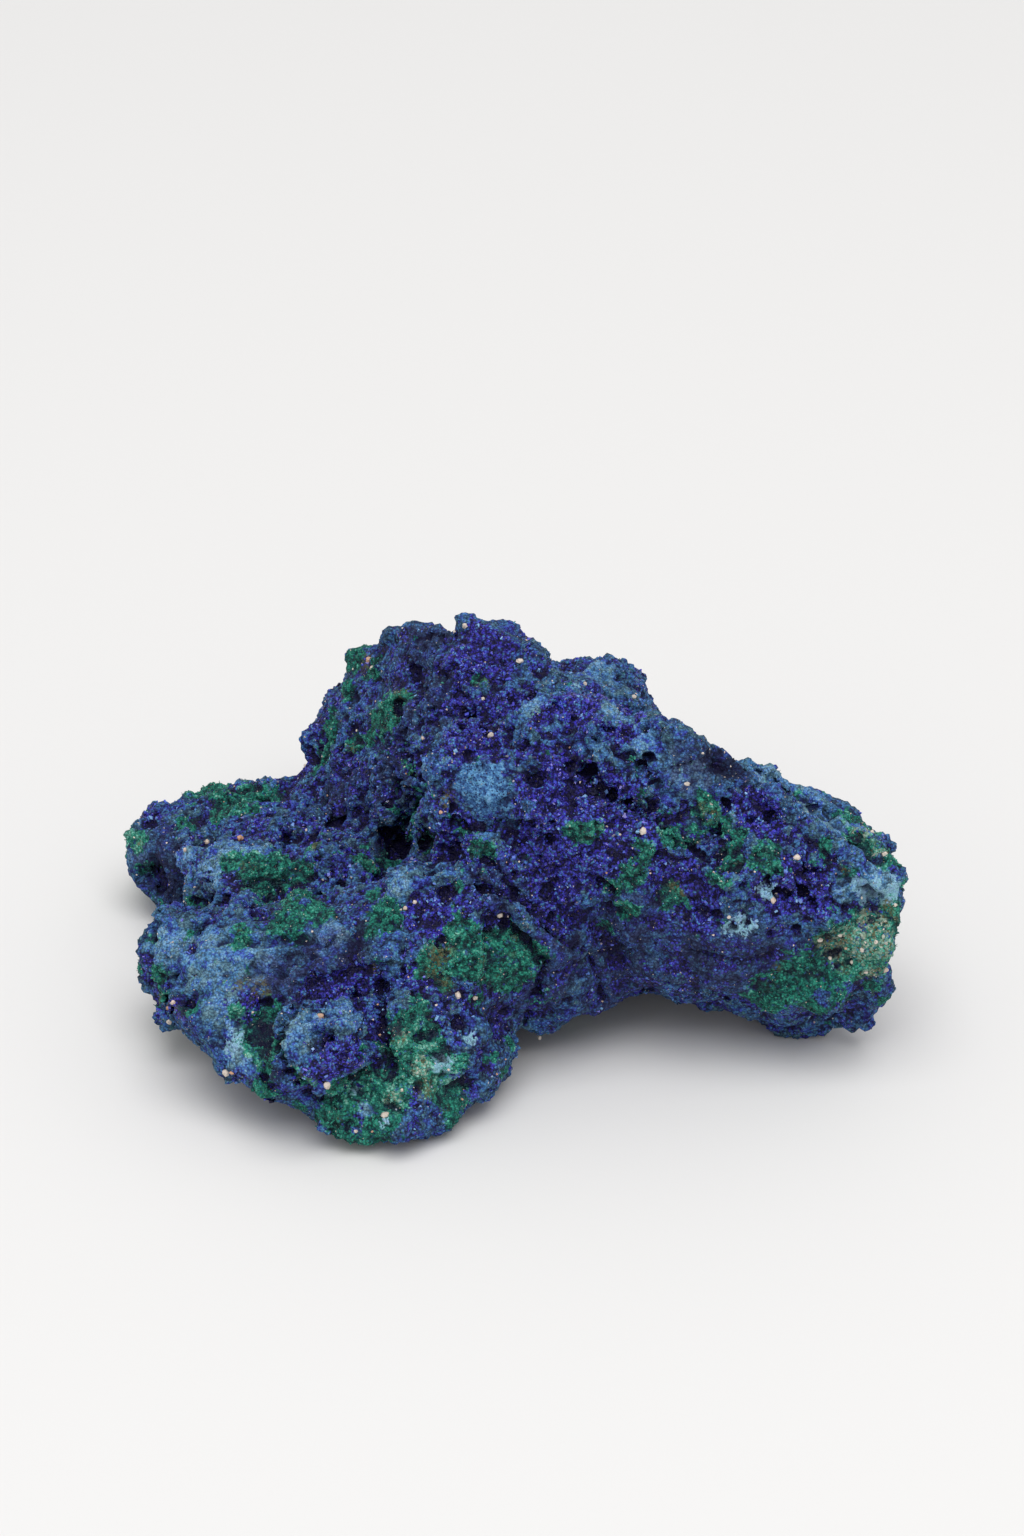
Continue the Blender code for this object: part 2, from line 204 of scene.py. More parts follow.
spots["calm"] = {
    "nodule": [(487, 789, 2.8)],
    "tower": [(470, 622, 3.4), (400, 634, 3.2), (500, 632, 3.0), (350, 655, 3.0)],
    "lobe": [(240, 965, 5.0), (300, 960, 3.5), (200, 1040, 3.0)],
    "stub": [(150, 870, 3.0)],
    "arm": [(690, 935, 5.0), (760, 965, 5.0), (620, 945, 4.5), (830, 1005, 4.0), (700, 770, 2.5),
        (690, 1010, 4.5), (600, 1010, 4.0), (770, 1015, 4.0), (850, 800, 3.0), (600, 690, 2.5)],
    "flank": [(490, 1040, 3.0), (540, 980, 4.0)],
    "armEnd": [(885, 940, 4.0), (880, 1000, 3.5)],
    "tip": [(300, 1110, 3.0), (380, 1135, 3.0), (440, 1115, 2.5)],
}
spots["broken"] = {
    "tower": [(440, 680, 5.0), (400, 760, 4.0), (360, 820, 4.0)],
    "brow": [(480, 730, 3.5), (590, 780, 4.0)],
    "saddle": [(330, 880, 3.0)],
    "arm": [(800, 900, 2.5), (700, 830, 2.5)],
    "neck": [(440, 860, 2.5)],
}
# Bosses and bumps: radius and rise, down where it is negative. Pits: radius and depth.
bosses = {
    "tower": [(440, 690, 3.0, 0.4), (535, 645, 3.0, -0.3), (312, 745, 2.6, -0.55), (316, 712, 2.6, -0.5),
        (330, 675, 2.4, -0.4), (400, 632, 3.2, 0.35), (485, 624, 3.2, 0.3)],
    "crest": [(600, 705, 3.2, 0.3), (720, 770, 2.4, 0.35), (655, 738, 2.4, 0.25)],
    "brow": [(468, 766, 4.2, 0.5), (560, 790, 3.2, -0.5), (640, 800, 2.4, -0.4), (600, 790, 2.6, -0.35)],
    "neck": [(412, 850, 2.6, -0.55), (350, 838, 2.2, 0.6)],
    "stub": [(150, 874, 2.2, -0.6), (118, 835, 2.0, 0.3), (215, 786, 2.6, 0.35)],
    "saddle": [(286, 896, 3.4, -0.7)],
    "lobe": [(225, 955, 3.0, 0.4)],
    "lobeEdge": [(148, 955, 2.4, -0.45), (165, 1015, 2.2, -0.5), (215, 1065, 2.4, -0.5),
        (275, 1112, 2.6, -0.55), (240, 1098, 2.4, -0.45), (302, 1126, 2.4, -0.5), (258, 1104, 2.2, -0.3),
        (147, 920, 2.2, -0.45), (150, 1000, 2.2, -0.4), (150, 1030, 2.2, -0.4)],
    "nose": [(328, 1040, 3.4, 0.6), (250, 1022, 1.8, -0.5)],
    "frontRidge": [(410, 1052, 2.8, 0.6)],
    "tip": [(370, 1128, 2.0, 0.3), (360, 1142, 2.4, 0.4), (440, 1130, 2.4, 0.3)],
    "flank": [(470, 990, 3.0, -0.4)],
    "ledge": [(560, 955, 3.0, 0.35)],
    "armPocket": [(690, 820, 2.2, -0.6)],
    "armFace": [(800, 895, 3.0, -0.4)],
    "armEnd": [(860, 950, 3.0, 0.3), (902, 880, 2.6, 0.3), (903, 930, 3.4, 0.4), (852, 1032, 2.2, 0.4),
        (874, 1003, 1.9, 0.6)],
    "armFoot": [(545, 1042, 2.4, -0.5), (580, 1038, 2.6, -0.6), (615, 1034, 2.6, -0.6),
        (650, 1031, 2.6, -0.65), (685, 1030, 2.6, -0.65), (720, 1032, 2.6, -0.65), (755, 1035, 2.6, -0.6),
        (790, 1036, 2.4, -0.5)],
    "backRight": [(866, 815, 2.2, -0.4), (780, 790, 2.4, 0.3), (870, 838, 2.4, 0.35)],
}
bumps = {
    "nodule": [(487, 789, 2.4, 0.85)],
    "pebbles": [(432, 748, 1.5, 0.55), (430, 776, 1.2, 0.4), (555, 728, 1.1, 0.4), (598, 745, 1.3, 0.3),
        (515, 735, 0.8, 0.3), (529, 765, 0.8, 0.35), (529, 805, 0.7, 0.35), (495, 725, 1.1, 0.3),
        (590, 702, 1.2, 0.3), (552, 755, 1.0, 0.3)],
    "neck": [(405, 790, 1.4, 0.5), (340, 800, 1.6, 0.6), (356, 790, 1.3, 0.5), (405, 806, 1.5, 0.5),
        (394, 815, 1.4, 0.6), (380, 830, 1.2, 0.4), (430, 810, 1.0, 0.4), (325, 830, 1.6, 0.6),
        (345, 830, 1.4, 0.5), (330, 850, 1.5, 0.5), (300, 845, 1.2, 0.4), (350, 856, 1.2, 0.4)],
    "stub": [(236, 850, 2.2, 0.5), (195, 880, 1.8, 0.6), (179, 886, 1.4, 0.5), (206, 870, 1.0, 0.4),
        (225, 886, 1.4, 0.4)],
    "lobe": [(160, 935, 1.8, 0.4), (190, 935, 1.4, 0.6), (215, 920, 1.3, 0.5)],
    "nose": [(350, 1011, 2.1, 0.35), (299, 1046, 1.8, 0.45)],
    "frontRidge": [(440, 1061, 1.4, 0.4), (417, 1058, 1.4, 0.4)],
    "flank": [(470, 1014, 1.2, 0.3)],
    "arm": [(690, 778, 2.5, 0.4), (731, 786, 1.5, 0.4), (733, 850, 1.2, 0.35), (645, 745, 1.9, 0.3),
        (644, 832, 0.6, 0.2), (700, 865, 1.3, 0.25), (600, 900, 1.4, 0.3), (845, 886, 1.2, 0.25)],
    "tower": [(450, 640, 1.7, 0.4), (491, 640, 1.4, 0.4), (400, 640, 2.0, 0.3), (520, 670, 1.2, 0.35),
        (455, 690, 1.3, 0.4), (430, 700, 1.6, 0.45), (365, 690, 1.5, 0.3), (350, 720, 1.6, 0.35)],
}
pits = {
    "nose": [(319, 1040, 1.05, 2.2), (331, 1037, 0.6, 1.2)],
    "lobeBack": [(332, 939, 0.55, 1.2)],
    "crest": [(604, 732, 0.8, 1.3), (611, 724, 0.6, 1.0), (557, 704, 0.55, 1.1), (469, 712, 0.65, 1.0)],
    "brow": [(588, 772, 0.8, 0.8), (532, 776, 0.75, 0.9), (614, 790, 0.7, 0.8), (627, 798, 0.7, 0.8),
        (655, 808, 1.15, 1.7), (664, 820, 0.8, 1.4), (668, 829, 0.5, 0.9), (628, 755, 0.6, 0.8),
        (649, 757, 0.35, 0.5)],
    "armPocket": [(752, 818, 0.55, 1.0), (770, 816, 0.6, 1.0), (725, 806, 0.5, 0.9), (705, 833, 0.8, 1.3),
        (716, 829, 0.6, 1.1), (695, 837, 0.5, 0.9), (683, 846, 0.6, 0.8), (732, 867, 0.45, 0.6),
        (738, 862, 0.4, 0.6)],
    "armFace": [(812, 867, 0.7, 1.1), (820, 870, 0.5, 0.8), (768, 881, 0.5, 0.8), (780, 893, 0.5, 0.8),
        (790, 899, 0.6, 0.9), (794, 908, 0.5, 0.7), (805, 893, 0.5, 0.8), (813, 903, 0.5, 0.8),
        (777, 872, 0.4, 0.6), (747, 922, 0.35, 0.6), (733, 928, 0.3, 0.4), (797, 928, 0.35, 0.5),
        (772, 934, 0.4, 0.5)],
    "backRight": [(833, 810, 0.6, 0.9)],
    "armLeft": [(600, 884, 0.65, 0.9), (612, 891, 0.6, 0.9), (592, 880, 0.5, 0.7), (548, 836, 0.7, 0.8)],
    "armLow": [(700, 912, 0.8, 0.6), (716, 915, 0.6, 0.7)],
    "neck": [(395, 843, 1.3, 0.9), (416, 838, 1.1, 0.8), (335, 812, 1.0, 0.9), (362, 826, 1.0, 0.9)],
    "tower": [(395, 790, 0.9, 1.2), (388, 801, 0.8, 1.1), (375, 676, 0.9, 0.8), (428, 668, 0.6, 0.6),
        (480, 641, 0.6, 0.5), (470, 652, 0.7, 0.6), (365, 725, 0.8, 0.6)],
    "lobe": [(192, 950, 0.5, 0.6), (188, 998, 1.0, 0.9), (263, 1004, 0.6, 0.8), (282, 976, 0.6, 0.7),
        (355, 990, 0.5, 0.7), (376, 985, 0.6, 0.7), (400, 980, 0.4, 0.6)],
    "lobeFoot": [(265, 1078, 0.45, 0.6), (270, 1088, 0.4, 0.5)],
    "stub": [(150, 880, 1.7, 1.2), (149, 820, 0.9, 0.5)],
    "noseSide": [(275, 1022, 0.6, 0.8)],
    "frontRidge": [(400, 1108, 0.5, 0.7), (390, 1105, 0.5, 0.6), (456, 1022, 0.9, 0.7), (466, 1030, 0.5, 0.5),
        (430, 1035, 0.7, 0.6), (383, 1040, 0.6, 0.8), (418, 1087, 0.5, 0.5), (361, 1070, 0.4, 0.5)],
    "saddle": [(236, 928, 0.8, 0.7)],
    "neckFoot": [(445, 895, 0.9, 0.6), (288, 838, 1.2, 0.9)],
    "chip": [(718, 765, 0.9, 0.7), (732, 771, 0.8, 0.6)],
}
# Creases: the line as the camera sees it, then its half width and depth. A ridge has its depth below zero.
creases = {
    "armAndLedge": ([(486, 856), (503, 880), (521, 899), (546, 921), (571, 943), (592, 955), (600, 975),
        (604, 1000)], 0.6, 0.8),
    "flankAndLedge": ([(505, 925), (528, 945), (546, 966), (536, 1000), (527, 1016), (524, 1038)], 0.7, 1.0),
    "armFracture": ([(648, 776), (664, 769), (692, 764)], 0.3, 0.5),
    "pocketLip": ([(668, 832), (685, 844), (702, 856), (722, 867), (736, 870)], 0.4, 0.6),
    "lowFace": ([(690, 952), (720, 958), (746, 962), (771, 955)], 0.4, 0.4),
    "brow": ([(572, 764), (584, 770), (604, 786), (622, 798), (642, 808)], 0.6, 0.9),
    "underNodule": ([(446, 824), (470, 828), (500, 824), (530, 826)], 0.6, 0.9),
    "noduleLeft": ([(452, 775), (450, 795), (456, 818)], 0.45, 0.6),
    "noseLeft": ([(300, 1000), (281, 1020), (274, 1048), (288, 1074), (309, 1095), (330, 1103)], 0.75, 1.0),
    "noseRight": ([(382, 985), (378, 1012), (380, 1035), (388, 1052), (392, 1076)], 0.6, 0.8),
    "noseTop": ([(300, 998), (325, 994), (352, 992), (380, 992)], 0.55, 0.6),
    "lobeTop": ([(402, 950), (401, 978), (415, 992)], 0.35, 0.5),
    "armTop": ([(705, 745), (715, 765), (745, 771)], 0.35, 0.5),
    "lobeBack": ([(222, 940), (250, 942), (290, 938), (330, 944)], 0.8, 0.6),
    "armCrest": ([(545, 690), (580, 686), (625, 699), (665, 724), (705, 748), (745, 776), (800, 816),
        (850, 856), (880, 884)], 1.1, -0.55),
    "backValley": ([(758, 768), (800, 794), (846, 828), (874, 858)], 0.9, 0.6),
    "lobeRim": ([(178, 950), (200, 984), (245, 990), (296, 974), (345, 962), (392, 952)], 0.9, -0.45),
    "towerSplit": ([(395, 700), (402, 740), (408, 780)], 0.8, 0.8),
    "towerTop": ([(395, 640), (410, 665), (420, 690)], 0.6, 0.5),
    "neckGap": ([(356, 812), (380, 826), (400, 838), (430, 842)], 0.7, 0.6),
    "stubAndLobe": ([(190, 905), (225, 900), (255, 905), (262, 925)], 0.8, 0.7),
}

# ---- small helpers for meshes

def readArray(items, name, width):
    values = np.empty(len(items) * width)
    items.foreach_get(name, values)
    return values.reshape(-1, width)


def writePoints(mesh, points):
    mesh.vertices.foreach_set("co", points.astype(np.float32).ravel())
    mesh.update()


def writeField(mesh, name, values):
    field = mesh.attributes.get(name) or mesh.attributes.new(name, "FLOAT", "POINT")
    field.data.foreach_set("value", values.astype(np.float32))


def meshFrom(shell, name):
    mesh = bpy.data.meshes.new(name)
    shell.to_mesh(mesh)
    shell.free()
    return mesh


def keepAbove(mesh, level):
    points = readArray(mesh.vertices, "co", 3)
    points[:, 2] = np.maximum(points[:, 2], level * mm)
    writePoints(mesh, points)


def push(mesh, amounts):
    points = readArray(mesh.vertices, "co", 3)
    normals = readArray(mesh.vertices, "normal", 3)
    writePoints(mesh, points + normals * amounts[:, None] * mm)


def fade(values, low, width):
    return np.clip((values - low) / width, 0.0, 1.0)


def weighted(weights, fields):
    return sum(weight * fields[name] for name, weight in weights.items())


def treeOf(mesh):
    points = [v.co.copy() for v in mesh.vertices]
    return BVHTree.FromPolygons(points, [tuple(p.vertices) for p in mesh.polygons])


def seen(tree, across, down):
    # the point of the stone that shows at a spot of the frame
    sideways = (across - view["width"] / 2) / view["pixelsPerMm"]
    upwards = (view["height"] / 2 - down) / view["pixelsPerMm"]
    line = (right * sideways + up * upwards + forward * view["distance"]) * mm
    spot = tree.ray_cast(eye, line.normalized())[0]
    if spot is None:
        # just past the edge: take the nearest stone beside the line
        near = [tree.find_nearest(eye + line * step) for step in np.linspace(0.91, 1.09, 73)]
        spot, normal, face, far = min(near, key=lambda found: found[3])
        if far > 4.5 * mm:
            spot = None
    return spot


def allSpots(places):
    return [spot for group in places.values() for spot in group]


def farFrom(points, spot, radius):
    # how far each point is from a spot, counted in radii
    return np.linalg.norm(points - np.array(spot), axis=1) / (radius * mm)


def spotField(points, wobble, tree, name):
    # 1 in the middle of a spot, 0 outside it, with a ragged edge
    field = np.zeros(len(points))
    for across, down, radius in allSpots(spots[name]):
        spot = seen(tree, across, down)
        if spot is not None:
            far = farFrom(points, spot, radius) + wobble
            field = np.maximum(field, np.clip((1.25 - far) / 0.5, 0.0, 1.0))
    return field


def newObject(name, mesh):
    made = bpy.data.objects.new(name, mesh)
    bpy.context.scene.collection.objects.link(made)
    return made


def applied(source, name):
    # the object's mesh with its modifiers applied, as a new object
    graph = bpy.context.evaluated_depsgraph_get()
    mesh = bpy.data.meshes.new_from_object(source.evaluated_get(graph), preserve_all_data_layers=True,
                                           depsgraph=graph)
    bpy.data.objects.remove(source)
    mesh.name = name
    made = newObject(name, mesh)
    made.name = name
    return made


# ---- the lump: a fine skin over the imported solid, then its bosses, hollows and grain

crust = {
    "voxel": 0.215,
    "smoothing": 9,
    "triangles": 186000,
    "rough": {"base": 0.85, "broken": 0.5, "calm": -0.6, "chance": 0.30},
    "roughRange": (0.2, 1.35),
    "swell": 0.30,
    "grain": 0.12,
    "bend": {"outward": 0.30, "wobble": 0.5},
    "cap": 29.2,
    "capSquash": 0.5,
    "pits": 520,
    "pitRadius": (0.20, 0.65),
    "pitDepth": (0.30, 0.95),
    "pitsWhereRough": 0.45,
    "change": (-1.5, 1.0),
    "seed": 11,
    "fills": [((466, 866), (536, 874), 2.7, 2.3), ((486, 898), (546, 898), 2.3, 2.3)],
}
# Noise: size, octaves and shift.
noises = {
    "edges": (1.1, 4, (3.1, 0.0, 5.2)),
    "roughness": (6.0, 2, (8.0, 2.0, 1.0)),
    "swell": (3.6, 3, (0.0, 7.3, 1.1)),
    "nodules": (4.0, 2, (2.0, 2.0, 7.0)),
    "beads": (2.6, 2, (5.0, 2.0, 3.0)),
    "grain": (0.42, 2, (5.0, 5.0, 5.0)),
    "patchEdges": (1.3, 4, (3.1, 0.0, 5.2)),
    "broad": (7.5, 4, (2.0, 9.0, 4.0)),
    "crumbs": (1.5, 3, (7.0, 3.0, 2.0)),
    "fine": (0.6, 2, (1.0, 5.0, 2.0)),
    "mottle": (1.6, 4, (6.0, 1.0, 3.0)),
    "calmer": (6.0, 3, (1.0, 4.0, 9.0)),
    "flecks": (0.9, 3, (9.0, 9.0, 1.0)),
    "ochre": (1.6, 3, (3.0, 8.0, 8.0)),
}
# Rounded cells that stand up from the skin: size, shift, height, and how much of a cell is raised.
cells = {
    "nodule": (2.1, (4.4, 1.9, 0.3), 0.34, 0.62),
    "bead": (1.05, (1.4, 6.9, 2.3), 0.23, 0.55),
    "crumb": (0.58, (7.7, 3.9, 5.3), 0.23, 0.50),
}


def noiseAt(points, name):
    size, octaves, shift = noises[name]
    place = Vector(shift)
    return np.array([noise.fractal(Vector(p) / (size * mm) + place, 0.9, 2.1, octaves) for p in points])


def pushCells(mesh, points, name, amount):
    # gives back how deep each point lies inside its cell, and the cell's own chance
    size, shift, height, raised = cells[name]
    place = Vector(shift)
    far, inside, chance = [], [], []
    for p in points:
        distances, middles = noise.voronoi(Vector(p) / (size * mm) + place)
        far.append(distances[0])
        inside.append(distances[1] - distances[0])
        chance.append(noise.cell_vector(middles[0] * 9.7)[0] % 1.0)
    push(mesh, height * (raised - (np.array(far) / 0.62) ** 2) * amount)
    return np.array(inside), np.array(chance)


def skinOf(node):
    shell = bmesh.new()
    shell.from_mesh(node.data)
    bmesh.ops.remove_doubles(shell, verts=shell.verts, dist=1e-6)
    tree = BVHTree.FromBMesh(shell)
    for start, end, radius, back in crust["fills"]:
        # a rounded lump that closes the crack between two spots
        middle = (seen(tree, *start) + seen(tree, *end)) / 2 + forward * back * mm
        made = bmesh.ops.create_icosphere(shell, subdivisions=3, radius=radius * mm)["verts"]
        bmesh.ops.translate(shell, vec=middle, verts=made)
    skin = newObject("azurite_crust", meshFrom(shell, "azurite_crust"))
    remesh = skin.modifiers.new("fine skin", "REMESH")
    remesh.mode = "VOXEL"
    remesh.voxel_size = crust["voxel"] * mm
    smooth = skin.modifiers.new("soften", "SMOOTH")
    smooth.factor = 0.5
    smooth.iterations = crust["smoothing"]
    return applied(skin, "azurite_crust")


def sculptCrust(skin):
    mesh = skin.data
    tree = treeOf(mesh)
    points = readArray(mesh.vertices, "co", 3)
    wobble = 0.45 * noiseAt(points, "edges")
    fields = {"base": 1.0, "broken": spotField(points, wobble, tree, "broken"),
              "calm": spotField(points, wobble, tree, "calm"), "chance": noiseAt(points, "roughness")}
    rough = np.clip(weighted(crust["rough"], fields), *crust["roughRange"])

    change = np.zeros(len(points))
    for across, down, radius, rise in allSpots(bosses):
        far = farFrom(points, seen(tree, across, down), radius)
        change += rise * np.clip(1.0 - (far * (1.0 + 0.4 * wobble)) ** 2, 0.0, 1.0) ** 2
    push(mesh, change)

    # swells, nodules, beads and crumbs, one size inside the other
    push(mesh, crust["swell"] * noiseAt(points, "swell") * rough)
    bend = crust["bend"]
    bent = points + bend["outward"] * mm * readArray(mesh.vertices, "normal", 3)
    bent = bent + bend["wobble"] * mm * wobble[:, None]
    here = np.clip(0.7 + 0.9 * noiseAt(points, "nodules"), 0.1, 1.3)
    inside, noduleChance = pushCells(mesh, bent, "nodule", rough * here)
    here = np.clip(0.7 + 0.9 * noiseAt(points, "beads"), 0.1, 1.3)
    inside, beadChance = pushCells(mesh, bent, "bead", rough * here)
    plain = np.clip(1.35 - rough * here, 0.0, 1.0)
    writeField(mesh, "bead", 1.0 - (1.0 - np.clip(inside / 0.28, 0.0, 1.0)) * (1.0 - plain))
    writeField(mesh, "beadTone", 0.5 + (0.65 * beadChance + 0.35 * noduleChance - 0.5) * (1.0 - 0.6 * plain))
    writeField(mesh, "beadHue", (beadChance * 7.31 + noduleChance * 3.17) % 1.0)
    writeField(mesh, "calm", fields["calm"])
    pushCells(mesh, points, "crumb", np.clip(rough, 0.60, 1.3))

    # the bosses and hollows that stand at known spots, then the scattered small pits
    change = np.zeros(len(points))
    for across, down, radius, rise in allSpots(bumps):
        far = farFrom(points, seen(tree, across, down), radius)
        change += rise * np.clip(1.0 - far ** 2, 0.0, 1.0)
    for across, down, radius, depth in allSpots(pits):
        far = farFrom(points, seen(tree, across, down), radius) + 0.9 * wobble
        change = np.minimum(change, change * 0.5 - depth * np.clip(1.15 - far ** 2, 0.0, 1.0))
    for line, halfWidth, depth in creases.values():
        cut = np.zeros(len(points))
        for (acrossA, downA), (acrossB, downB) in zip(line, line[1:]):
            steps = max(2, int(math.hypot(acrossB - acrossA, downB - downA) / 5))
            for along in np.linspace(0.0, 1.0, steps):
                spot = seen(tree, acrossA + (acrossB - acrossA) * along, downA + (downB - downA) * along)
                near = np.clip(1.1 - (farFrom(points, spot, halfWidth) + 0.6 * wobble), 0.0, 1.0)
                cut = np.maximum(cut, near * near * (3.0 - 2.0 * near))
        change -= depth * cut
    dice = np.random.default_rng(crust["seed"])
    for index in dice.choice(len(points), crust["pits"], replace=False):
        radius = dice.uniform(*crust["pitRadius"])
        depth = dice.uniform(*crust["pitDepth"]) * rough[index]
        if rough[index] > crust["pitsWhereRough"]:
            far = farFrom(points, points[index], radius) + 1.1 * wobble
            change = np.minimum(change, change - depth * np.clip(1.1 - far ** 2, 0.0, 1.0))
    push(mesh, np.clip(change, *crust["change"]))
    push(mesh, crust["grain"] * noiseAt(points, "grain"))

    moved = readArray(mesh.vertices, "co", 3)
    over = moved[:, 2] - crust["cap"] * mm
    squashed = crust["cap"] * mm + over * crust["capSquash"]
    moved[:, 2] = np.where(over > 0.0, squashed, np.maximum(moved[:, 2], 0.0))
    writePoints(mesh, moved)
    thin = skin.modifiers.new("thin", "DECIMATE")
    thin.ratio = min(1.0, crust["triangles"] / (2.0 * len(mesh.polygons)))
    return tree


patchRules = {
    "smoothOver": 10,
    "hollow": 0.35,
    "crest": 0.22,
    "reliefOver": 3,
    "relief": 0.10,
    "raggedCrumbs": 0.8,
    "raggedFine": 0.5,
    "balance": {"powder": 1.00, "druse": -0.95, "mottle": 0.55, "crest": 0.22, "hollow": -0.5,
                "calmer": 0.6, "bead": 0.30, "beadTone": 0.50},
    "knobs": {"base": 0.55, "mottle": 0.4, "calm": -0.62},
    "druse": {"base": 0.12, "druse": 1.0, "calm": -0.35},
    # how thickly the sand grains and the painted glints lie
    "sand": {"base": 0.40, "green": 0.3, "cream": 0.6},
}


def averaged(values, edges, times):
    # each point takes the average of its neighbours, again and again
    count = np.bincount(edges.ravel(), minlength=len(values))[:, None]
    for step in range(times):
        total = np.zeros_like(values)
        for a, b in ((0, 1), (1, 0)):
            for axis in range(values.shape[1]):
                total[:, axis] += np.bincount(edges[:, a], weights=values[edges[:, b], axis],
                                              minlength=len(values))
        values = total / np.maximum(count, 1)
    return values


def knownShare(points, normals, tree, edges):
    # 1 where the camera sees the stone, 0 where its patches are left to chance
    known = np.zeros((len(points), 1))
    for i, (p, n) in enumerate(zip(points, normals)):
        toEye = (eye - Vector(p)).normalized()
        if toEye.dot(Vector(n)) > -0.1:
            start = Vector(p) + Vector(n) * 0.9 * mm
            if tree.ray_cast(start, toEye)[0] is None:
                known[i] = 1.0
    return averaged(known, edges, 12)[:, 0]


def fieldsOfCrust(skin, tree):
    mesh = skin.data
    points = readArray(mesh.vertices, "co", 3)
    normals = readArray(mesh.vertices, "normal", 3)
    wobble = 0.45 * noiseAt(points, "patchEdges")
    edges = np.empty(len(mesh.edges) * 2, np.int64)
    mesh.edges.foreach_get("vertices", edges)
    edges = edges.reshape(-1, 2)
    rules = patchRules
    fields = {name: spotField(points, wobble, tree, name) for name in spots if name not in ("calm", "broken")}
    known = {name: readArray(mesh.attributes[name].data, "value", 1)[:, 0]
             for name in ("bead", "beadTone", "calm")}
    # how deep each point lies below its smoothed neighbours; the crust finish paints shade into these hollows
    eased = averaged(points, edges, rules["smoothOver"])
    depth = ((eased - points) * normals).sum(axis=1) / mm
    fields["hollow"] = np.clip(depth / rules["hollow"], 0.0, 1.0)
    known["crest"] = np.clip(-depth / rules["crest"], 0.0, 1.0)
    # fine relief: small rises and small recesses, which the finishes turn into painted light and painted
    # shade
    near = averaged(points, edges, rules["reliefOver"])
    rise = np.clip(-((near - points) * normals).sum(axis=1) / (rules["relief"] * mm), -1.0, 1.0)
    fields["relief"] = rise * (1.0 - 0.5 * known["calm"])

    # green crust at its spots, in broad patches where chance has it, and in small crumbs everywhere
    chance = 1.0 - knownShare(points, normals, tree, edges)
    crumbs = noiseAt(points, "crumbs")
    ragged = rules["raggedCrumbs"] * crumbs + rules["raggedFine"] * noiseAt(points, "fine")
    broad = np.clip(0.5 + (noiseAt(points, "broad") - 0.34) / 0.4, 0.0, 1.0)
    green = np.maximum(fields["green"], chance * broad)
    green = np.clip(0.5 + (green - 0.55 + 0.75 * ragged) / 0.35, 0.0, 1.0) * (green > 0.02)
    green = np.maximum(green, fade(crumbs, 0.72, 0.12))
    frost = np.clip(0.5 + (fields["frost"] - 0.5 + 0.6 * ragged) / 0.4, 0.0, 1.0) * (fields["frost"] > 0.02)
    fields["frost"] = np.maximum(frost, fade(noiseAt(points, "flecks"), 0.95, 0.12))
    fields["ochre"] = np.maximum(fields["ochre"], green * fade(noiseAt(points, "ochre"), 0.55, 0.15))
    fields["green"] = green

    # violet crystals in the hollows, powder on the crests, and chance between them
    known["bead"] -= 0.55
    known["beadTone"] -= 0.5
    known["mottle"] = noiseAt(points, "mottle")
    known["calmer"] = chance * noiseAt(points, "calmer")
    balance = weighted(rules["balance"], {**fields, **known})
    fields["powder"] = np.clip(0.5 + balance / 0.5, 0.0, 1.0)
    fields["druse"] = np.clip(0.5 - balance / 0.5, 0.0, 1.0) * (1.0 - green)
    for name, values in fields.items():
        writeField(mesh, name, values)

    # how thickly each kind of grain lies; little is needed on the underside
    clear = fade(points[:, 2] / mm, 0.6, 0.4) * np.clip(1.1 + normals[:, 2], 0.25, 1.0)
    blue = np.clip(1.0 - green - fields["frost"], 0.0, 1.0)
    # fewer grains in the hollows and at the dark spots of painted shade
    openness = (0.25 + 0.75 * (1.0 - fields["hollow"]) ** 2) * (1.0 - 0.7 * fields["dark"])
    known["base"] = 1.0
    lying = {name: weighted(rules[name], {**fields, **known}) for name in ("knobs", "druse", "sand")}
    writeField(mesh, "layKnob", clear * openness * np.clip(lying["knobs"], 0.03, 1.0))
    writeField(mesh, "layDruse", clear * openness * np.clip(lying["druse"], 0.0, 1.0) * blue)
    writeField(mesh, "layGreen", clear * openness * green * (1.0 - 0.3 * known["calm"]))
    writeField(mesh, "laySand", clear * np.clip(lying["sand"], 0.0, 1.0))


crustSkin = skinOf(lump)
print("skin has", len(crustSkin.data.polygons), "faces")
crustTree = sculptCrust(crustSkin)
crustSkin = applied(crustSkin, "azurite_crust")
keepAbove(crustSkin.data, 0.0)
fieldsOfCrust(crustSkin, crustTree)
print("crust sculpted,", len(crustSkin.data.polygons), "faces kept")

# ---- the small shapes that are repeated: a few faces each, one millimetre across

def templateObject(name, shell, smooth):
    bmesh.ops.recalc_face_normals(shell, faces=shell.faces)
    for face in shell.faces:
        face.smooth = smooth
    return bpy.data.objects.new(name, meshFrom(shell, name))


def wedgeCrystal(name, width, depth, height, ridge, lean):
    # a tablet whose upper end comes in to a leaning ridge
    shell = bmesh.new()
    bmesh.ops.create_cube(shell, size=1.0)
    bmesh.ops.scale(shell, vec=(width, depth, height), verts=shell.verts)
    top = [v for v in shell.verts if v.co.z > 0.0]
    bmesh.ops.scale(shell, vec=(ridge, 0.85, 1.0), verts=top)
    bmesh.ops.translate(shell, vec=(lean, 0.06, 0.0), verts=top)
    bmesh.ops.translate(shell, vec=(0.0, 0.0, 0.14), verts=[v for v in top if v.co.y > 0.0])
    return templateObject(name, shell, False)


def roughGranule(name, seed, smooth=False):
    shell = bmesh.new()
    bmesh.ops.create_icosphere(shell, subdivisions=1, radius=0.5)
    dice = np.random.default_rng(seed)
    for corner in shell.verts:
        corner.co *= dice.uniform(0.72, 1.2)
    return templateObject(name, shell, smooth)


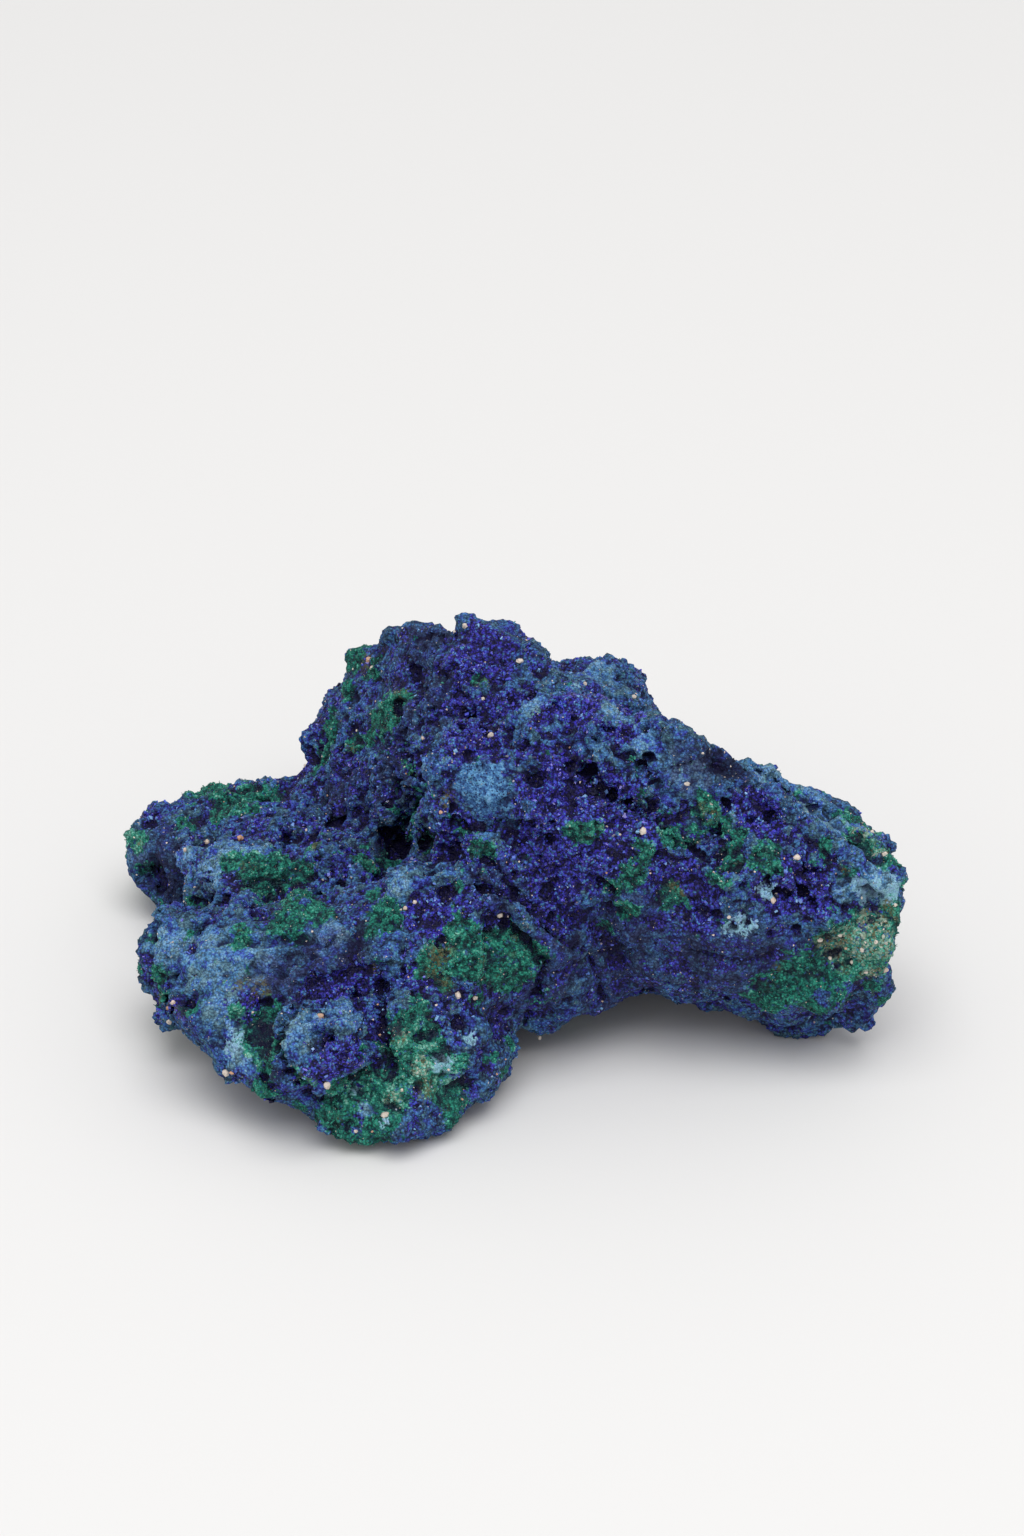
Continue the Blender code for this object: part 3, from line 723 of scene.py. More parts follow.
def needleTuft(name, needles, seed):
    shell = bmesh.new()
    dice = np.random.default_rng(seed)
    for needle in range(needles):
        made = bmesh.ops.create_cone(shell, cap_ends=True, segments=3, radius1=0.16, radius2=0.05,
                                     depth=dice.uniform(0.8, 1.3))["verts"]
        bmesh.ops.translate(shell, vec=(0.0, 0.0, 0.4), verts=made)
        lean = Vector((dice.uniform(-1, 1), dice.uniform(-1, 1), 1.3)).to_track_quat("Z", "Y").to_matrix()
        bmesh.ops.rotate(shell, matrix=lean, verts=made)
    return templateObject(name, shell, False)


# a small pale pyramid that stands for a glint of light: a painted glint
def pyramidGlint(name):
    shell = bmesh.new()
    bmesh.ops.create_cone(shell, cap_ends=True, segments=4, radius1=0.5, radius2=0.0, depth=0.8)
    return templateObject(name, shell, False)


# ---- scattering: points on the crust, one small shape on each, all realized

def addNode(tree, kind, inputs=None, **settings):
    made = tree.nodes.new(kind)
    for key, value in settings.items():
        setattr(made, key, value)
    for key, value in (inputs or {}).items():
        if isinstance(value, bpy.types.NodeSocket):
            tree.links.new(value, made.inputs[key])
        else:
            made.inputs[key].default_value = value
    return made


def addSockets(tree, way, **kinds):
    for name, kind in kinds.items():
        tree.interface.new_socket(name.replace("_", " "), in_out=way, socket_type="NodeSocket" + kind)


def scatterTree(name, shapes, lay):
    tree = bpy.data.node_groups.new(name, "GeometryNodeTree")
    addSockets(tree, "INPUT", Geometry="Geometry")
    addSockets(tree, "OUTPUT", Geometry="Geometry")
    ground = addNode(tree, "NodeGroupInput").outputs["Geometry"]
    thick = addNode(tree, "GeometryNodeInputNamedAttribute", {"Name": lay["field"]}, data_type="FLOAT")
    points = addNode(tree, "GeometryNodeDistributePointsOnFaces", {
        "Mesh": ground, "Distance Min": lay["apart"] * mm, "Density Max": lay["perSquareMm"] / mm ** 2,
        "Density Factor": thick.outputs["Attribute"], "Seed": lay["seed"]}, distribute_method="POISSON")

    def drawn(step, low, high, kind="FLOAT_VECTOR"):
        first, second, out = (0, 1, 0) if kind == "FLOAT_VECTOR" else (2, 3, 1)
        return addNode(tree, "FunctionNodeRandomValue", {
            first: low, second: high, "Seed": lay["seed"] + step}, data_type=kind).outputs[out]

    turn = math.radians(lay["tilt"])
    spin = drawn(1, (-turn, -turn, 0.0), (turn, turn, 2.0 * math.pi))
    spun = addNode(tree, "FunctionNodeEulerToRotation", {"Euler": spin})
    turned = addNode(tree, "FunctionNodeRotateRotation", {
        "Rotation": points.outputs["Rotation"], "Rotate By": spun.outputs["Rotation"]},
        rotation_space="LOCAL")
    small, large = lay["size"]
    bent = addNode(tree, "ShaderNodeMath", {0: drawn(2, 0.0, 1.0, "FLOAT"), 1: lay["fewLarge"]},
                   operation="POWER")
    size = addNode(tree, "ShaderNodeMapRange", {
        "Value": bent.outputs[0], "To Min": small * mm, "To Max": large * mm})
    scale = addNode(tree, "ShaderNodeVectorMath", {
        0: drawn(3, (0.75, 0.75, 0.75), (1.3, 1.3, 1.3)), "Scale": size.outputs["Result"]}, operation="SCALE")
    kinds = addNode(tree, "GeometryNodeJoinGeometry")
    for kind in shapes:
        info = addNode(tree, "GeometryNodeObjectInfo", {"Object": kind, "As Instance": True})
        tree.links.new(info.outputs["Geometry"], kinds.inputs["Geometry"])
    inward = addNode(tree, "ShaderNodeVectorMath", {
        0: points.outputs["Normal"], "Scale": -lay["sunk"] * (small + large) * 0.5 * mm}, operation="SCALE")
    sunk = addNode(tree, "GeometryNodeSetPosition", {
        "Geometry": points.outputs["Points"], "Offset": inward.outputs["Vector"]})
    copies = addNode(tree, "GeometryNodeInstanceOnPoints", {
        "Points": sunk.outputs["Geometry"], "Instance": kinds.outputs["Geometry"], "Pick Instance": True,
        "Rotation": turned.outputs["Rotation"], "Scale": scale.outputs["Vector"]})
    tinted = addNode(tree, "GeometryNodeStoreNamedAttribute", {
        "Geometry": copies.outputs["Instances"], "Name": "tint", "Value": drawn(4, 0.0, 1.0, "FLOAT")},
        data_type="FLOAT", domain="INSTANCE")
    real = addNode(tree, "GeometryNodeRealizeInstances", {"Geometry": tinted.outputs["Geometry"]})
    addNode(tree, "NodeGroupOutput", {"Geometry": real.outputs["Geometry"]})
    return tree


def scatter(name, shapes, lay):
    piece = newObject(name, crustSkin.data.copy())
    piece.modifiers.new("scatter", "NODES").node_group = scatterTree(name, shapes, lay)
    piece = applied(piece, name)
    mesh = piece.data
    for field in [a.name for a in mesh.attributes]:
        if field.startswith("lay"):
            mesh.attributes.remove(mesh.attributes[field])
    keepAbove(mesh, 0.02)
    print(name, sum(len(p.vertices) - 2 for p in mesh.polygons), "triangles")
    return piece


knobShapes = [roughGranule("knobA", 3, True), roughGranule("knobB", 8, True), roughGranule("knobC", 12, True)]
knobLay = {"field": "layKnob", "apart": 0.24, "perSquareMm": 2.9, "size": (0.22, 0.60), "fewLarge": 2.4,
           "tilt": 180.0, "sunk": 0.22, "seed": 53}
knobs = scatter("azurite_knobs", knobShapes, knobLay)

druseShapes = [
    wedgeCrystal("wedgeTablet", 0.95, 0.60, 0.90, 0.35, 0.12),
    wedgeCrystal("wedgeBlock", 0.85, 0.80, 0.80, 0.60, -0.10),
    wedgeCrystal("wedgeSpike", 0.60, 0.55, 1.10, 0.40, 0.05),
]
coarseDruse = {"field": "layDruse", "apart": 0.18, "perSquareMm": 4.2, "size": (0.18, 0.36), "fewLarge": 2.0,
               "tilt": 48.0, "sunk": 0.42, "seed": 21}
fineDruse = {"field": "layDruse", "apart": 0.12, "perSquareMm": 4.4, "size": (0.12, 0.30), "fewLarge": 1.4,
             "tilt": 60.0, "sunk": 0.15, "seed": 37}
druseCoarse = scatter("azurite_druse_coarse", druseShapes, coarseDruse)
druseFine = scatter("azurite_druse_fine", druseShapes, fineDruse)

malachiteShapes = [needleTuft("malachiteTuftA", 2, 4), roughGranule("malachiteChip", 15),
                   wedgeCrystal("malachiteSplinter", 0.45, 0.45, 1.10, 0.30, 0.25)]
malachiteLay = {"field": "layGreen", "apart": 0.15, "perSquareMm": 8.2, "size": (0.14, 0.34), "fewLarge": 1.8,
                "tilt": 60.0, "sunk": 0.15, "seed": 71}
malachiteTufts = scatter("malachite_tufts", malachiteShapes, malachiteLay)

# the scattered pale grains: partly real sand, partly painted glints, tiny pale pieces that stand in for
# glints of light
sandAndGlintShapes = [roughGranule("sandGrainA", 22), pyramidGlint("glintA"), pyramidGlint("glintB")]
sandAndGlintLay = {"field": "laySand", "apart": 0.3, "perSquareMm": 0.80, "size": (0.07, 0.24), "fewLarge": 3.2,
           "tilt": 180.0, "sunk": 0.0, "seed": 83}
sandAndGlints = scatter("pale_grains", sandAndGlintShapes, sandAndGlintLay)

# the larger pale grains that stand at known spots: across, down, radius in mm, tint
paleGrains = {
    "arm": [(491, 736, 0.3, 0.1), (643, 831, 0.36, 0.0), (687, 784, 0.23, 0.2), (634, 697, 0.25, 0.1),
        (520, 661, 0.3, 0.3), (483, 699, 0.2, 0.1), (423, 738, 0.21, 0.6), (585, 684, 0.21, 0.1),
        (797, 857, 0.31, 0.5), (773, 900, 0.31, 0.6), (729, 917, 0.16, 0.2), (441, 812, 0.2, 0.72)],
    "armEnd": [(872, 832, 0.18, 0.1), (885, 855, 0.25, 0.2), (820, 940, 0.25, 0.5), (885, 970, 0.26, 0.6),
        (862, 950, 0.21, 0.1), (840, 935, 0.2, 0.2), (852, 962, 0.18, 0.1), (876, 942, 0.21, 0.1),
        (830, 958, 0.18, 0.3), (866, 972, 0.2, 0.5), (895, 905, 0.18, 0.1), (846, 948, 0.16, 0.7)],
    "lobe": [(500, 915, 0.25, 0.5), (458, 995, 0.3, 0.2), (475, 998, 0.23, 0.1), (415, 902, 0.21, 0.3),
        (405, 908, 0.2, 0.6), (385, 1115, 0.38, 0.1), (327, 1085, 0.31, 0.2), (320, 1017, 0.38, 0.7),
        (226, 1073, 0.3, 0.2), (538, 1040, 0.21, 0.1), (169, 1022, 0.25, 0.1), (173, 1003, 0.21, 0.6),
        (168, 1008, 0.18, 0.74), (232, 1073, 0.2, 0.74), (356, 1131, 0.2, 0.1), (402, 1090, 0.16, 0.3)],
    "rear": [(465, 626, 0.21, 0.1), (455, 632, 0.2, 0.2), (207, 842, 0.25, 0.6), (240, 838, 0.28, 0.74),
        (185, 850, 0.21, 0.6), (369, 660, 0.33, 0.72), (372, 668, 0.21, 0.5), (302, 765, 0.18, 0.3)],
}


def placeGrains(name, places, seed):
    shell = bmesh.new()
    tint = shell.verts.layers.float.new("tint")
    dice = np.random.default_rng(seed)
    bark = treeOf(crustSkin.data)
    for across, down, radius, tone in allSpots(places):
        spot = seen(bark, across, down)
        made = bmesh.ops.create_icosphere(shell, subdivisions=2, radius=radius * mm)["verts"]
        for corner in made:
            corner.co *= dice.uniform(0.80, 1.15)
            corner[tint] = tone
        bmesh.ops.scale(shell, vec=Vector(dice.uniform(0.75, 1.1, 3)), verts=made)
        bmesh.ops.translate(shell, vec=spot, verts=made)
    mesh = meshFrom(shell, name)
    keepAbove(mesh, 0.02)
    return newObject(name, mesh)


largeGrains = placeGrains("pale_grains_large", paleGrains, 91)
print("pale_grains_large", len(largeGrains.data.polygons), "triangles")

# ---- finishes

palette = {
    "shade": (0.005, 0.004, 0.030),
    "deepViolet": (0.018, 0.011, 0.168),
    "violet": (0.052, 0.038, 0.504),
    "cerulean": (0.092, 0.297, 0.610),
    "powderBlue": (0.047, 0.148, 0.370),
    "slateTeal": (0.025, 0.069, 0.112),
    "skyBlue": (0.240, 0.470, 0.740),
    "royalBlue": (0.056, 0.078, 0.582),
    "slateDeep": (0.016, 0.020, 0.062),
    "slateViolet": (0.040, 0.058, 0.168),
    "slatePale": (0.120, 0.200, 0.360),
    "inkBlue": (0.016, 0.027, 0.101),
    "greyTeal": (0.101, 0.213, 0.269),
    "paleTeal": (0.210, 0.380, 0.440),
    "noduleBlue": (0.130, 0.360, 0.640),
    "frostBlue": (0.340, 0.560, 0.820),
    "paleMint": (0.300, 0.420, 0.330),
    "greenBlack": (0.002, 0.018, 0.018),
    "emerald": (0.040, 0.360, 0.250),
    "malachite": (0.014, 0.190, 0.145),
    "malachiteDeep": (0.004, 0.055, 0.055),
    "malachiteTip": (0.260, 0.600, 0.500),
    "aqua": (0.300, 0.620, 0.700),
    "ochre": (0.130, 0.110, 0.045),
    "cream": (0.720, 0.630, 0.560),
    "rosy": (0.620, 0.330, 0.200),
}
# Runs of colour, from dark to light.
ramps = {
    # the cerulean top of the violet run is partly painted sparkle
    "violet": [(0.33, "shade"), (0.46, "deepViolet"), (0.58, "violet"), (0.70, "royalBlue"),
               (0.82, "cerulean")],
    "dusty": [(0.22, "shade"), (0.34, "inkBlue"), (0.47, "powderBlue"), (0.63, "cerulean"),
              (0.84, "skyBlue")],
    "teal": [(0.20, "shade"), (0.38, "slateTeal"), (0.60, "greyTeal"), (0.90, "paleTeal")],
    "royal": [(0.20, "shade"), (0.38, "deepViolet"), (0.60, "royalBlue"), (0.90, "cerulean")],
    "slaty": [(0.18, "shade"), (0.36, "slateDeep"), (0.60, "slateViolet"), (0.92, "slatePale")],
    "nodule": [(0.15, "inkBlue"), (0.45, "powderBlue"), (0.62, "noduleBlue"), (0.95, "skyBlue")],
    "leaf": [(0.24, "greenBlack"), (0.40, "malachiteDeep"), (0.56, "malachite"), (0.72, "emerald"),
             (0.88, "malachiteTip")],
    "beige": [(0.10, "ochre"), (0.35, "paleMint"), (0.75, "paleMint"), (1.0, "cream")],
    # the sky-blue top of the crystal run: partly pale crystals, partly painted glints
    "crystal": [(0.0, "shade"), (0.35, "deepViolet"), (0.66, "violet"), (0.89, "royalBlue"),
                (1.0, "skyBlue")],
    "tuft": [(0.22, "greenBlack"), (0.38, "malachiteDeep"), (0.55, "malachite"), (0.70, "emerald"),
             (0.88, "malachiteTip")],
    # the sand run also colours the painted glints
    "sand": [(0.0, "cream"), (0.55, "cream"), (0.75, "rosy"), (1.0, "skyBlue")],
}
# What the light and dark of each run follows, and by how much. The rise entries are painted light and shade:
# small rises lighter, small recesses darker.
tones = {
    "violet": {"fineOther": 0.46, "lumpCloud": 0.28, "rise": 0.26},
    "dusty": {"beadTone": 0.24, "layerTone": 0.18, "lumpCloud": 0.12, "fineOther": 0.22, "rise": 0.14,
              "pale": 0.25},
    "drift": {"beadHue": 0.42, "lumpOther": 0.34, "fineGrain": 0.24},
    "nodule": {"lumpCloud": 0.4, "rise": 0.3, "fineOther": 0.3},
    "leaf": {"lumpCloud": 0.26, "fineOther": 0.30, "rise": 0.22, "beadTone": 0.22, "pale": 0.16},
    "tuft": {"lumpCloud": 0.30, "tint": 0.26, "rise": 0.18, "beadTone": 0.26, "pale": 0.16},
    "height": {"fineHeight": 1.0, "lumpHeight": 1.4, "layers": 1.2},
}
# Patches: the grains that break up the edge, where the patch begins and is full, and how much it covers. The
# hollow and dark patches are painted shade.
patches = {
    "teal": ({}, 0.48, 0.70, 0.9),
    "royal": ({}, 0.44, 0.26, 0.9),
    "powder": ({"fineGrain": (-0.34, 0.34), "lumpGrain": (-0.20, 0.20)}, 0.34, 0.68, 1.0),
    "dots": ({}, 0.34, 0.24, 0.95),
    "speckled": ({"lumpGrain": (-0.12, 0.12)}, 0.35, 0.65, 0.9),
    "green": ({"fineGrain": (-0.30, 0.22), "lumpCloud": (-0.40, 0.25)}, 0.25, 0.65, 1.0),
    "frost": ({"fineOther": (-0.60, 0.30)}, 0.35, 0.75, 0.8),
    "cream": ({"fineGrain": (-1.0, 0.25)}, 0.30, 0.85, 0.75),
    "hollow": ({}, 0.15, 1.0, 0.88),
    "dark": ({"fineGrain": (-0.35, 0.25)}, 0.25, 0.85, 0.85),
}


def rgba(name):
    return (*palette[name], 1.0)


def mixColour(tree, share, first, second):
    return addNode(tree, "ShaderNodeMix", {0: share, 6: first, 7: second}, data_type="RGBA").outputs[2]


def remap(tree, value, low, high, toLow=0.0, toHigh=1.0):
    made = addNode(tree, "ShaderNodeMapRange", {"Value": value, "From Min": low, "From Max": high,
                                                "To Min": toLow, "To Max": toHigh})
    return made.outputs["Result"]


def calc(tree, operation, first, second=0.0):
    return addNode(tree, "ShaderNodeMath", {0: first, 1: second}, operation=operation).outputs[0]


def fieldOf(tree, name):
    return addNode(tree, "ShaderNodeAttribute", attribute_name=name).outputs["Fac"]


def noiseNode(tree, place, scale, detail, roughness):
    return addNode(tree, "ShaderNodeTexNoise", {
        "Vector": place, "Scale": scale, "Detail": detail, "Roughness": roughness}).outputs


def grainGroup():
    # packed mineral grains: two chance values for each grain, a gap mask between them that the finishes use
    # for painted shade, and a height
    tree = bpy.data.node_groups.new("mineral grain", "ShaderNodeTree")
    addSockets(tree, "INPUT", Place="Vector", Per_Metre="Float")
    addSockets(tree, "OUTPUT", Grain="Float", Other="Float", Gap="Float", Cloud="Float", Height="Float")
    entry = addNode(tree, "NodeGroupInput").outputs
    cloud = noiseNode(tree, entry["Place"], entry["Per Metre"], 3.0, 0.65)
    spread = calc(tree, "DIVIDE", 0.9, entry["Per Metre"])
    bent = addNode(tree, "ShaderNodeVectorMath", {0: cloud["Color"], "Scale": spread}, operation="SCALE")
    place = addNode(tree, "ShaderNodeVectorMath", {0: entry["Place"], 1: bent.outputs["Vector"]},
                    operation="ADD")
    grains = addNode(tree, "ShaderNodeTexVoronoi", {"Vector": place.outputs["Vector"],
                                                    "Scale": entry["Per Metre"]}).outputs
    chance = addNode(tree, "ShaderNodeSeparateColor", {"Color": grains["Color"]}).outputs
    height = calc(tree, "SUBTRACT", calc(tree, "MULTIPLY", cloud["Fac"], 0.7), grains["Distance"])
    addNode(tree, "NodeGroupOutput", {
        "Grain": chance["Red"], "Other": chance["Green"], "Gap": remap(tree, grains["Distance"], 0.38, 0.75),
        "Cloud": remap(tree, cloud["Fac"], 0.35, 0.65), "Height": height})
    return tree


def speckGroup():
    # scattered specks of another colour; More lets them run together
    tree = bpy.data.node_groups.new("specks", "ShaderNodeTree")
    addSockets(tree, "INPUT", Place="Vector", Per_Metre="Float", More="Float", Ground="Color", Speck="Color")
    addSockets(tree, "OUTPUT", Color="Color")
    entry = addNode(tree, "NodeGroupInput").outputs
    cloud = noiseNode(tree, entry["Place"], entry["Per Metre"], 2.0, 0.7)
    edge = calc(tree, "SUBTRACT", 0.72, calc(tree, "MULTIPLY", entry["More"], 0.30))
    mask = remap(tree, calc(tree, "SUBTRACT", cloud["Fac"], edge), 0.0, 0.07)
    addNode(tree, "NodeGroupOutput", {"Color": mixColour(tree, mask, entry["Ground"], entry["Speck"])})
    return tree


mineralGrain = grainGroup()
mineralSpecks = speckGroup()


def newMaterial(name):
    material = bpy.data.materials.new(name)
    material.use_nodes = True
    tree = material.node_tree
    tree.nodes.clear()
    place = addNode(tree, "ShaderNodeTexCoord").outputs["Object"]
    return material, tree, place


def grainAt(tree, place, acrossMm):
    return addNode(tree, "ShaderNodeGroup", {"Place": place, "Per Metre": 1.0 / (acrossMm * mm)},
                   node_tree=mineralGrain).outputs


def blend(tree, weights, parts):
    total = 0.0
    for name, weight in weights.items():
        total = calc(tree, "ADD", total, calc(tree, "MULTIPLY", parts[name], weight))
    return total


def ramp(tree, share, name):
    stops = ramps[name]
    made = addNode(tree, "ShaderNodeValToRGB", {"Fac": share})
    keys = made.color_ramp.elements
    while len(keys) < len(stops):
        keys.new(0.5)
    for key, (position, colour) in zip(keys, stops):
        key.position = position
        key.color = rgba(colour)
    return made.outputs["Color"]


def shareOf(tree, name, parts):
    # how much of a patch shows at each point, with its edge broken up by the grains
    breaks, begins, full, most = patches[name]
    edge = parts[name]
    for grain, (low, high) in breaks.items():
        edge = calc(tree, "ADD", edge, remap(tree, parts[grain], 0.0, 1.0, low, high))
    return remap(tree, edge, begins, full, 0.0, most)


def closeMaterial(tree, colour, roughness, height, bumpMm, strength, ior=1.5, specular=0.5):
    bump = addNode(tree, "ShaderNodeBump", {"Height": height, "Distance": bumpMm * mm, "Strength": strength})
    skin = addNode(tree, "ShaderNodeBsdfPrincipled", {
        "Base Color": colour, "Roughness": roughness, "IOR": ior, "Normal": bump.outputs["Normal"],
        "Specular IOR Level": specular})
    addNode(tree, "ShaderNodeOutputMaterial", {"Surface": skin.outputs["BSDF"]})


crustLook = {"fineMm": 0.19, "lumpMm": 0.55, "layerMm": 0.42, "layerStretch": (0.28, 1.0, 1.0), "dotMm": 0.26,
             "speckMm": 0.24, "specks": 0.22, "bumpMm": 0.14, "specular": 0.25}


def crustMaterial():
    look = crustLook
    material, tree, place = newMaterial("azurite crust")
    fine, lumps = grainAt(tree, place, look["fineMm"]), grainAt(tree, place, look["lumpMm"])
    # fine layers that run along the stone
    laid = addNode(tree, "ShaderNodeMapping", {"Vector": place, "Scale": look["layerStretch"]})
    layers = noiseNode(tree, laid.outputs["Vector"], 1.0 / (look["layerMm"] * mm), 4.0, 0.7)["Fac"]
    dots = addNode(tree, "ShaderNodeTexVoronoi", {"Vector": place, "Scale": 1.0 / (look["dotMm"] * mm)})
    parts = {name: fieldOf(tree, name) for name in (
        "powder", "hollow", "relief", "beadTone", "beadHue", "pale", "slate", "speckled", "green", "frost",
        "cream", "ochre", "dark")}
    parts.update({
        "fineGrain": fine["Grain"], "fineOther": fine["Other"], "fineHeight": fine["Height"],
        "lumpGrain": lumps["Grain"], "lumpOther": lumps["Other"], "lumpHeight": lumps["Height"],
        "lumpCloud": lumps["Cloud"], "layers": layers, "layerTone": remap(tree, layers, 0.34, 0.66),
        "rise": remap(tree, parts["relief"], -1.0, 1.0), "dots": dots.outputs["Distance"]})

    # the rise part of each tone paints light on small rises and shade in small recesses
    violet = ramp(tree, blend(tree, tones["violet"], parts), "violet")
    dustTone = blend(tree, tones["dusty"], parts)
    dusty = ramp(tree, dustTone, "dusty")
    parts["teal"] = parts["royal"] = blend(tree, tones["drift"], parts)
    for name in ("teal", "royal"):
        dusty = mixColour(tree, shareOf(tree, name, parts), dusty, ramp(tree, dustTone, name))
    slateShare = calc(tree, "MULTIPLY", parts["slate"], remap(tree, lumps["Other"], 0.15, 0.75, 0.35, 0.95))
    dusty = mixColour(tree, slateShare, dusty, ramp(tree, dustTone, "slaty"))
    # each grain is violet crystal or pale powder, by where it lies and by chance
    share = shareOf(tree, "powder", parts)
    ground = mixColour(tree, share, violet, dusty)
    # painted shade in the gaps between the grains
    gapShade = calc(tree, "MULTIPLY", fine["Gap"], remap(tree, share, 0.0, 1.0, 0.80, 0.62))
    ground = mixColour(tree, gapShade, ground, rgba("shade"))

    # the pale nodule is stippled with dark points
    nodule = ramp(tree, blend(tree, tones["nodule"], parts), "nodule")
    stipple = mixColour(tree, shareOf(tree, "dots", parts), nodule, rgba("inkBlue"))
    leaf = ramp(tree, blend(tree, tones["leaf"], parts), "leaf")
    # painted shade in the gaps between the green grains
    leaf = mixColour(tree, calc(tree, "MULTIPLY", fine["Gap"], 0.6), leaf, rgba("greenBlack"))
    frosty = mixColour(tree, fine["Grain"], rgba("frostBlue"), rgba("aqua"))
    beige = ramp(tree, fine["Other"], "beige")
    for name, colour in (("speckled", stipple), ("green", leaf), ("frost", frosty), ("cream", beige)):
        ground = mixColour(tree, shareOf(tree, name, parts), ground, colour)
    stain = calc(tree, "MULTIPLY", parts["ochre"], remap(tree, fine["Grain"], 0.25, 0.75, 0.0, 0.75))
    ground = mixColour(tree, stain, ground, rgba("ochre"))
    # painted shade in the hollows and at the dark spots
    for name in ("hollow", "dark"):
        ground = mixColour(tree, shareOf(tree, name, parts), ground, rgba("shade"))
    # cream specks, more of them on small rises: partly pale flecks, partly painted glints
    ground = addNode(tree, "ShaderNodeGroup", {
        "Place": place, "Per Metre": 1.0 / (look["speckMm"] * mm), "Ground": ground, "Speck": rgba("cream"),
        "More": remap(tree, parts["relief"], 0.0, 1.0, 0.0, look["specks"])},
        node_tree=mineralSpecks).outputs["Color"]
    roughness = remap(tree, share, 0.0, 1.0, 0.40, 0.90)
    height = blend(tree, tones["height"], parts)
    closeMaterial(tree, ground, roughness, height, look["bumpMm"], 1.0, specular=look["specular"])
    return material


crystalLook = {"grainMm": 0.16, "bumpMm": 0.02, "bump": 0.3, "ior": 1.6, "roughness": (0.18, 0.70)}


def crystalMaterial():
    look = crystalLook
    material, tree, place = newMaterial("azurite crystal")
    grains = grainAt(tree, place, look["grainMm"])
    # tint: chance colour of each crystal; the palest crystals are partly painted glints
    colour = ramp(tree, fieldOf(tree, "tint"), "crystal")
    dusted = calc(tree, "MULTIPLY", remap(tree, fieldOf(tree, "powder"), 0.3, 1.0, 0.02, 0.8),
                  remap(tree, grains["Grain"], 0.3, 0.6))
    colour = mixColour(tree, dusted, colour, rgba("cerulean"))
    roughness = remap(tree, dusted, 0.0, 0.6, *look["roughness"])
    closeMaterial(tree, colour, roughness, grains["Height"], look["bumpMm"], look["bump"], ior=look["ior"])
    return material


tuftLook = {"grainMm": 0.18, "lumpMm": 0.62, "bumpMm": 0.03, "bump": 0.6, "roughness": (0.40, 0.80)}


def malachiteMaterial():
    look = tuftLook
    material, tree, place = newMaterial("malachite")
    grains = grainAt(tree, place, look["grainMm"])
    parts = {name: fieldOf(tree, name) for name in ("tint", "beadTone", "pale")}
    parts["lumpCloud"] = grainAt(tree, place, look["lumpMm"])["Cloud"]
    # rise: painted light on small rises, painted shade in small recesses
    parts["rise"] = remap(tree, fieldOf(tree, "relief"), -1.0, 1.0)
    colour = ramp(tree, blend(tree, tones["tuft"], parts), "tuft")
    # painted shade in the gaps between the malachite grains
    colour = mixColour(tree, calc(tree, "MULTIPLY", grains["Gap"], 0.7), colour, rgba("malachiteDeep"))
    stain = calc(tree, "MULTIPLY", fieldOf(tree, "ochre"), remap(tree, grains["Grain"], 0.2, 0.8))
    colour = mixColour(tree, stain, colour, rgba("ochre"))
    roughness = remap(tree, grains["Other"], 0.0, 1.0, *look["roughness"])
    closeMaterial(tree, colour, roughness, grains["Height"], look["bumpMm"], look["bump"])
    return material


sandAndGlintLook = {"grainMm": 0.14, "stain": 0.3, "bumpMm": 0.02, "bump": 0.5, "roughness": (0.35, 0.7)}


# the finish of the sand grains and of the painted glints
def sandAndGlintMaterial():
    look = sandAndGlintLook
    material, tree, place = newMaterial("pale sand grain and glint")
    grains = grainAt(tree, place, look["grainMm"])
    colour = ramp(tree, fieldOf(tree, "tint"), "sand")
    colour = mixColour(tree, calc(tree, "MULTIPLY", grains["Grain"], look["stain"]), colour, rgba("ochre"))
    roughness = remap(tree, grains["Other"], 0.0, 1.0, *look["roughness"])
    closeMaterial(tree, colour, roughness, grains["Height"], look["bumpMm"], look["bump"])
    return material


def dress(piece, material):
    faces = piece.data.polygons
    piece.data.materials.clear()
    piece.data.materials.append(material)
    faces.foreach_set("material_index", np.zeros(len(faces), np.int32))
    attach(piece, "root")


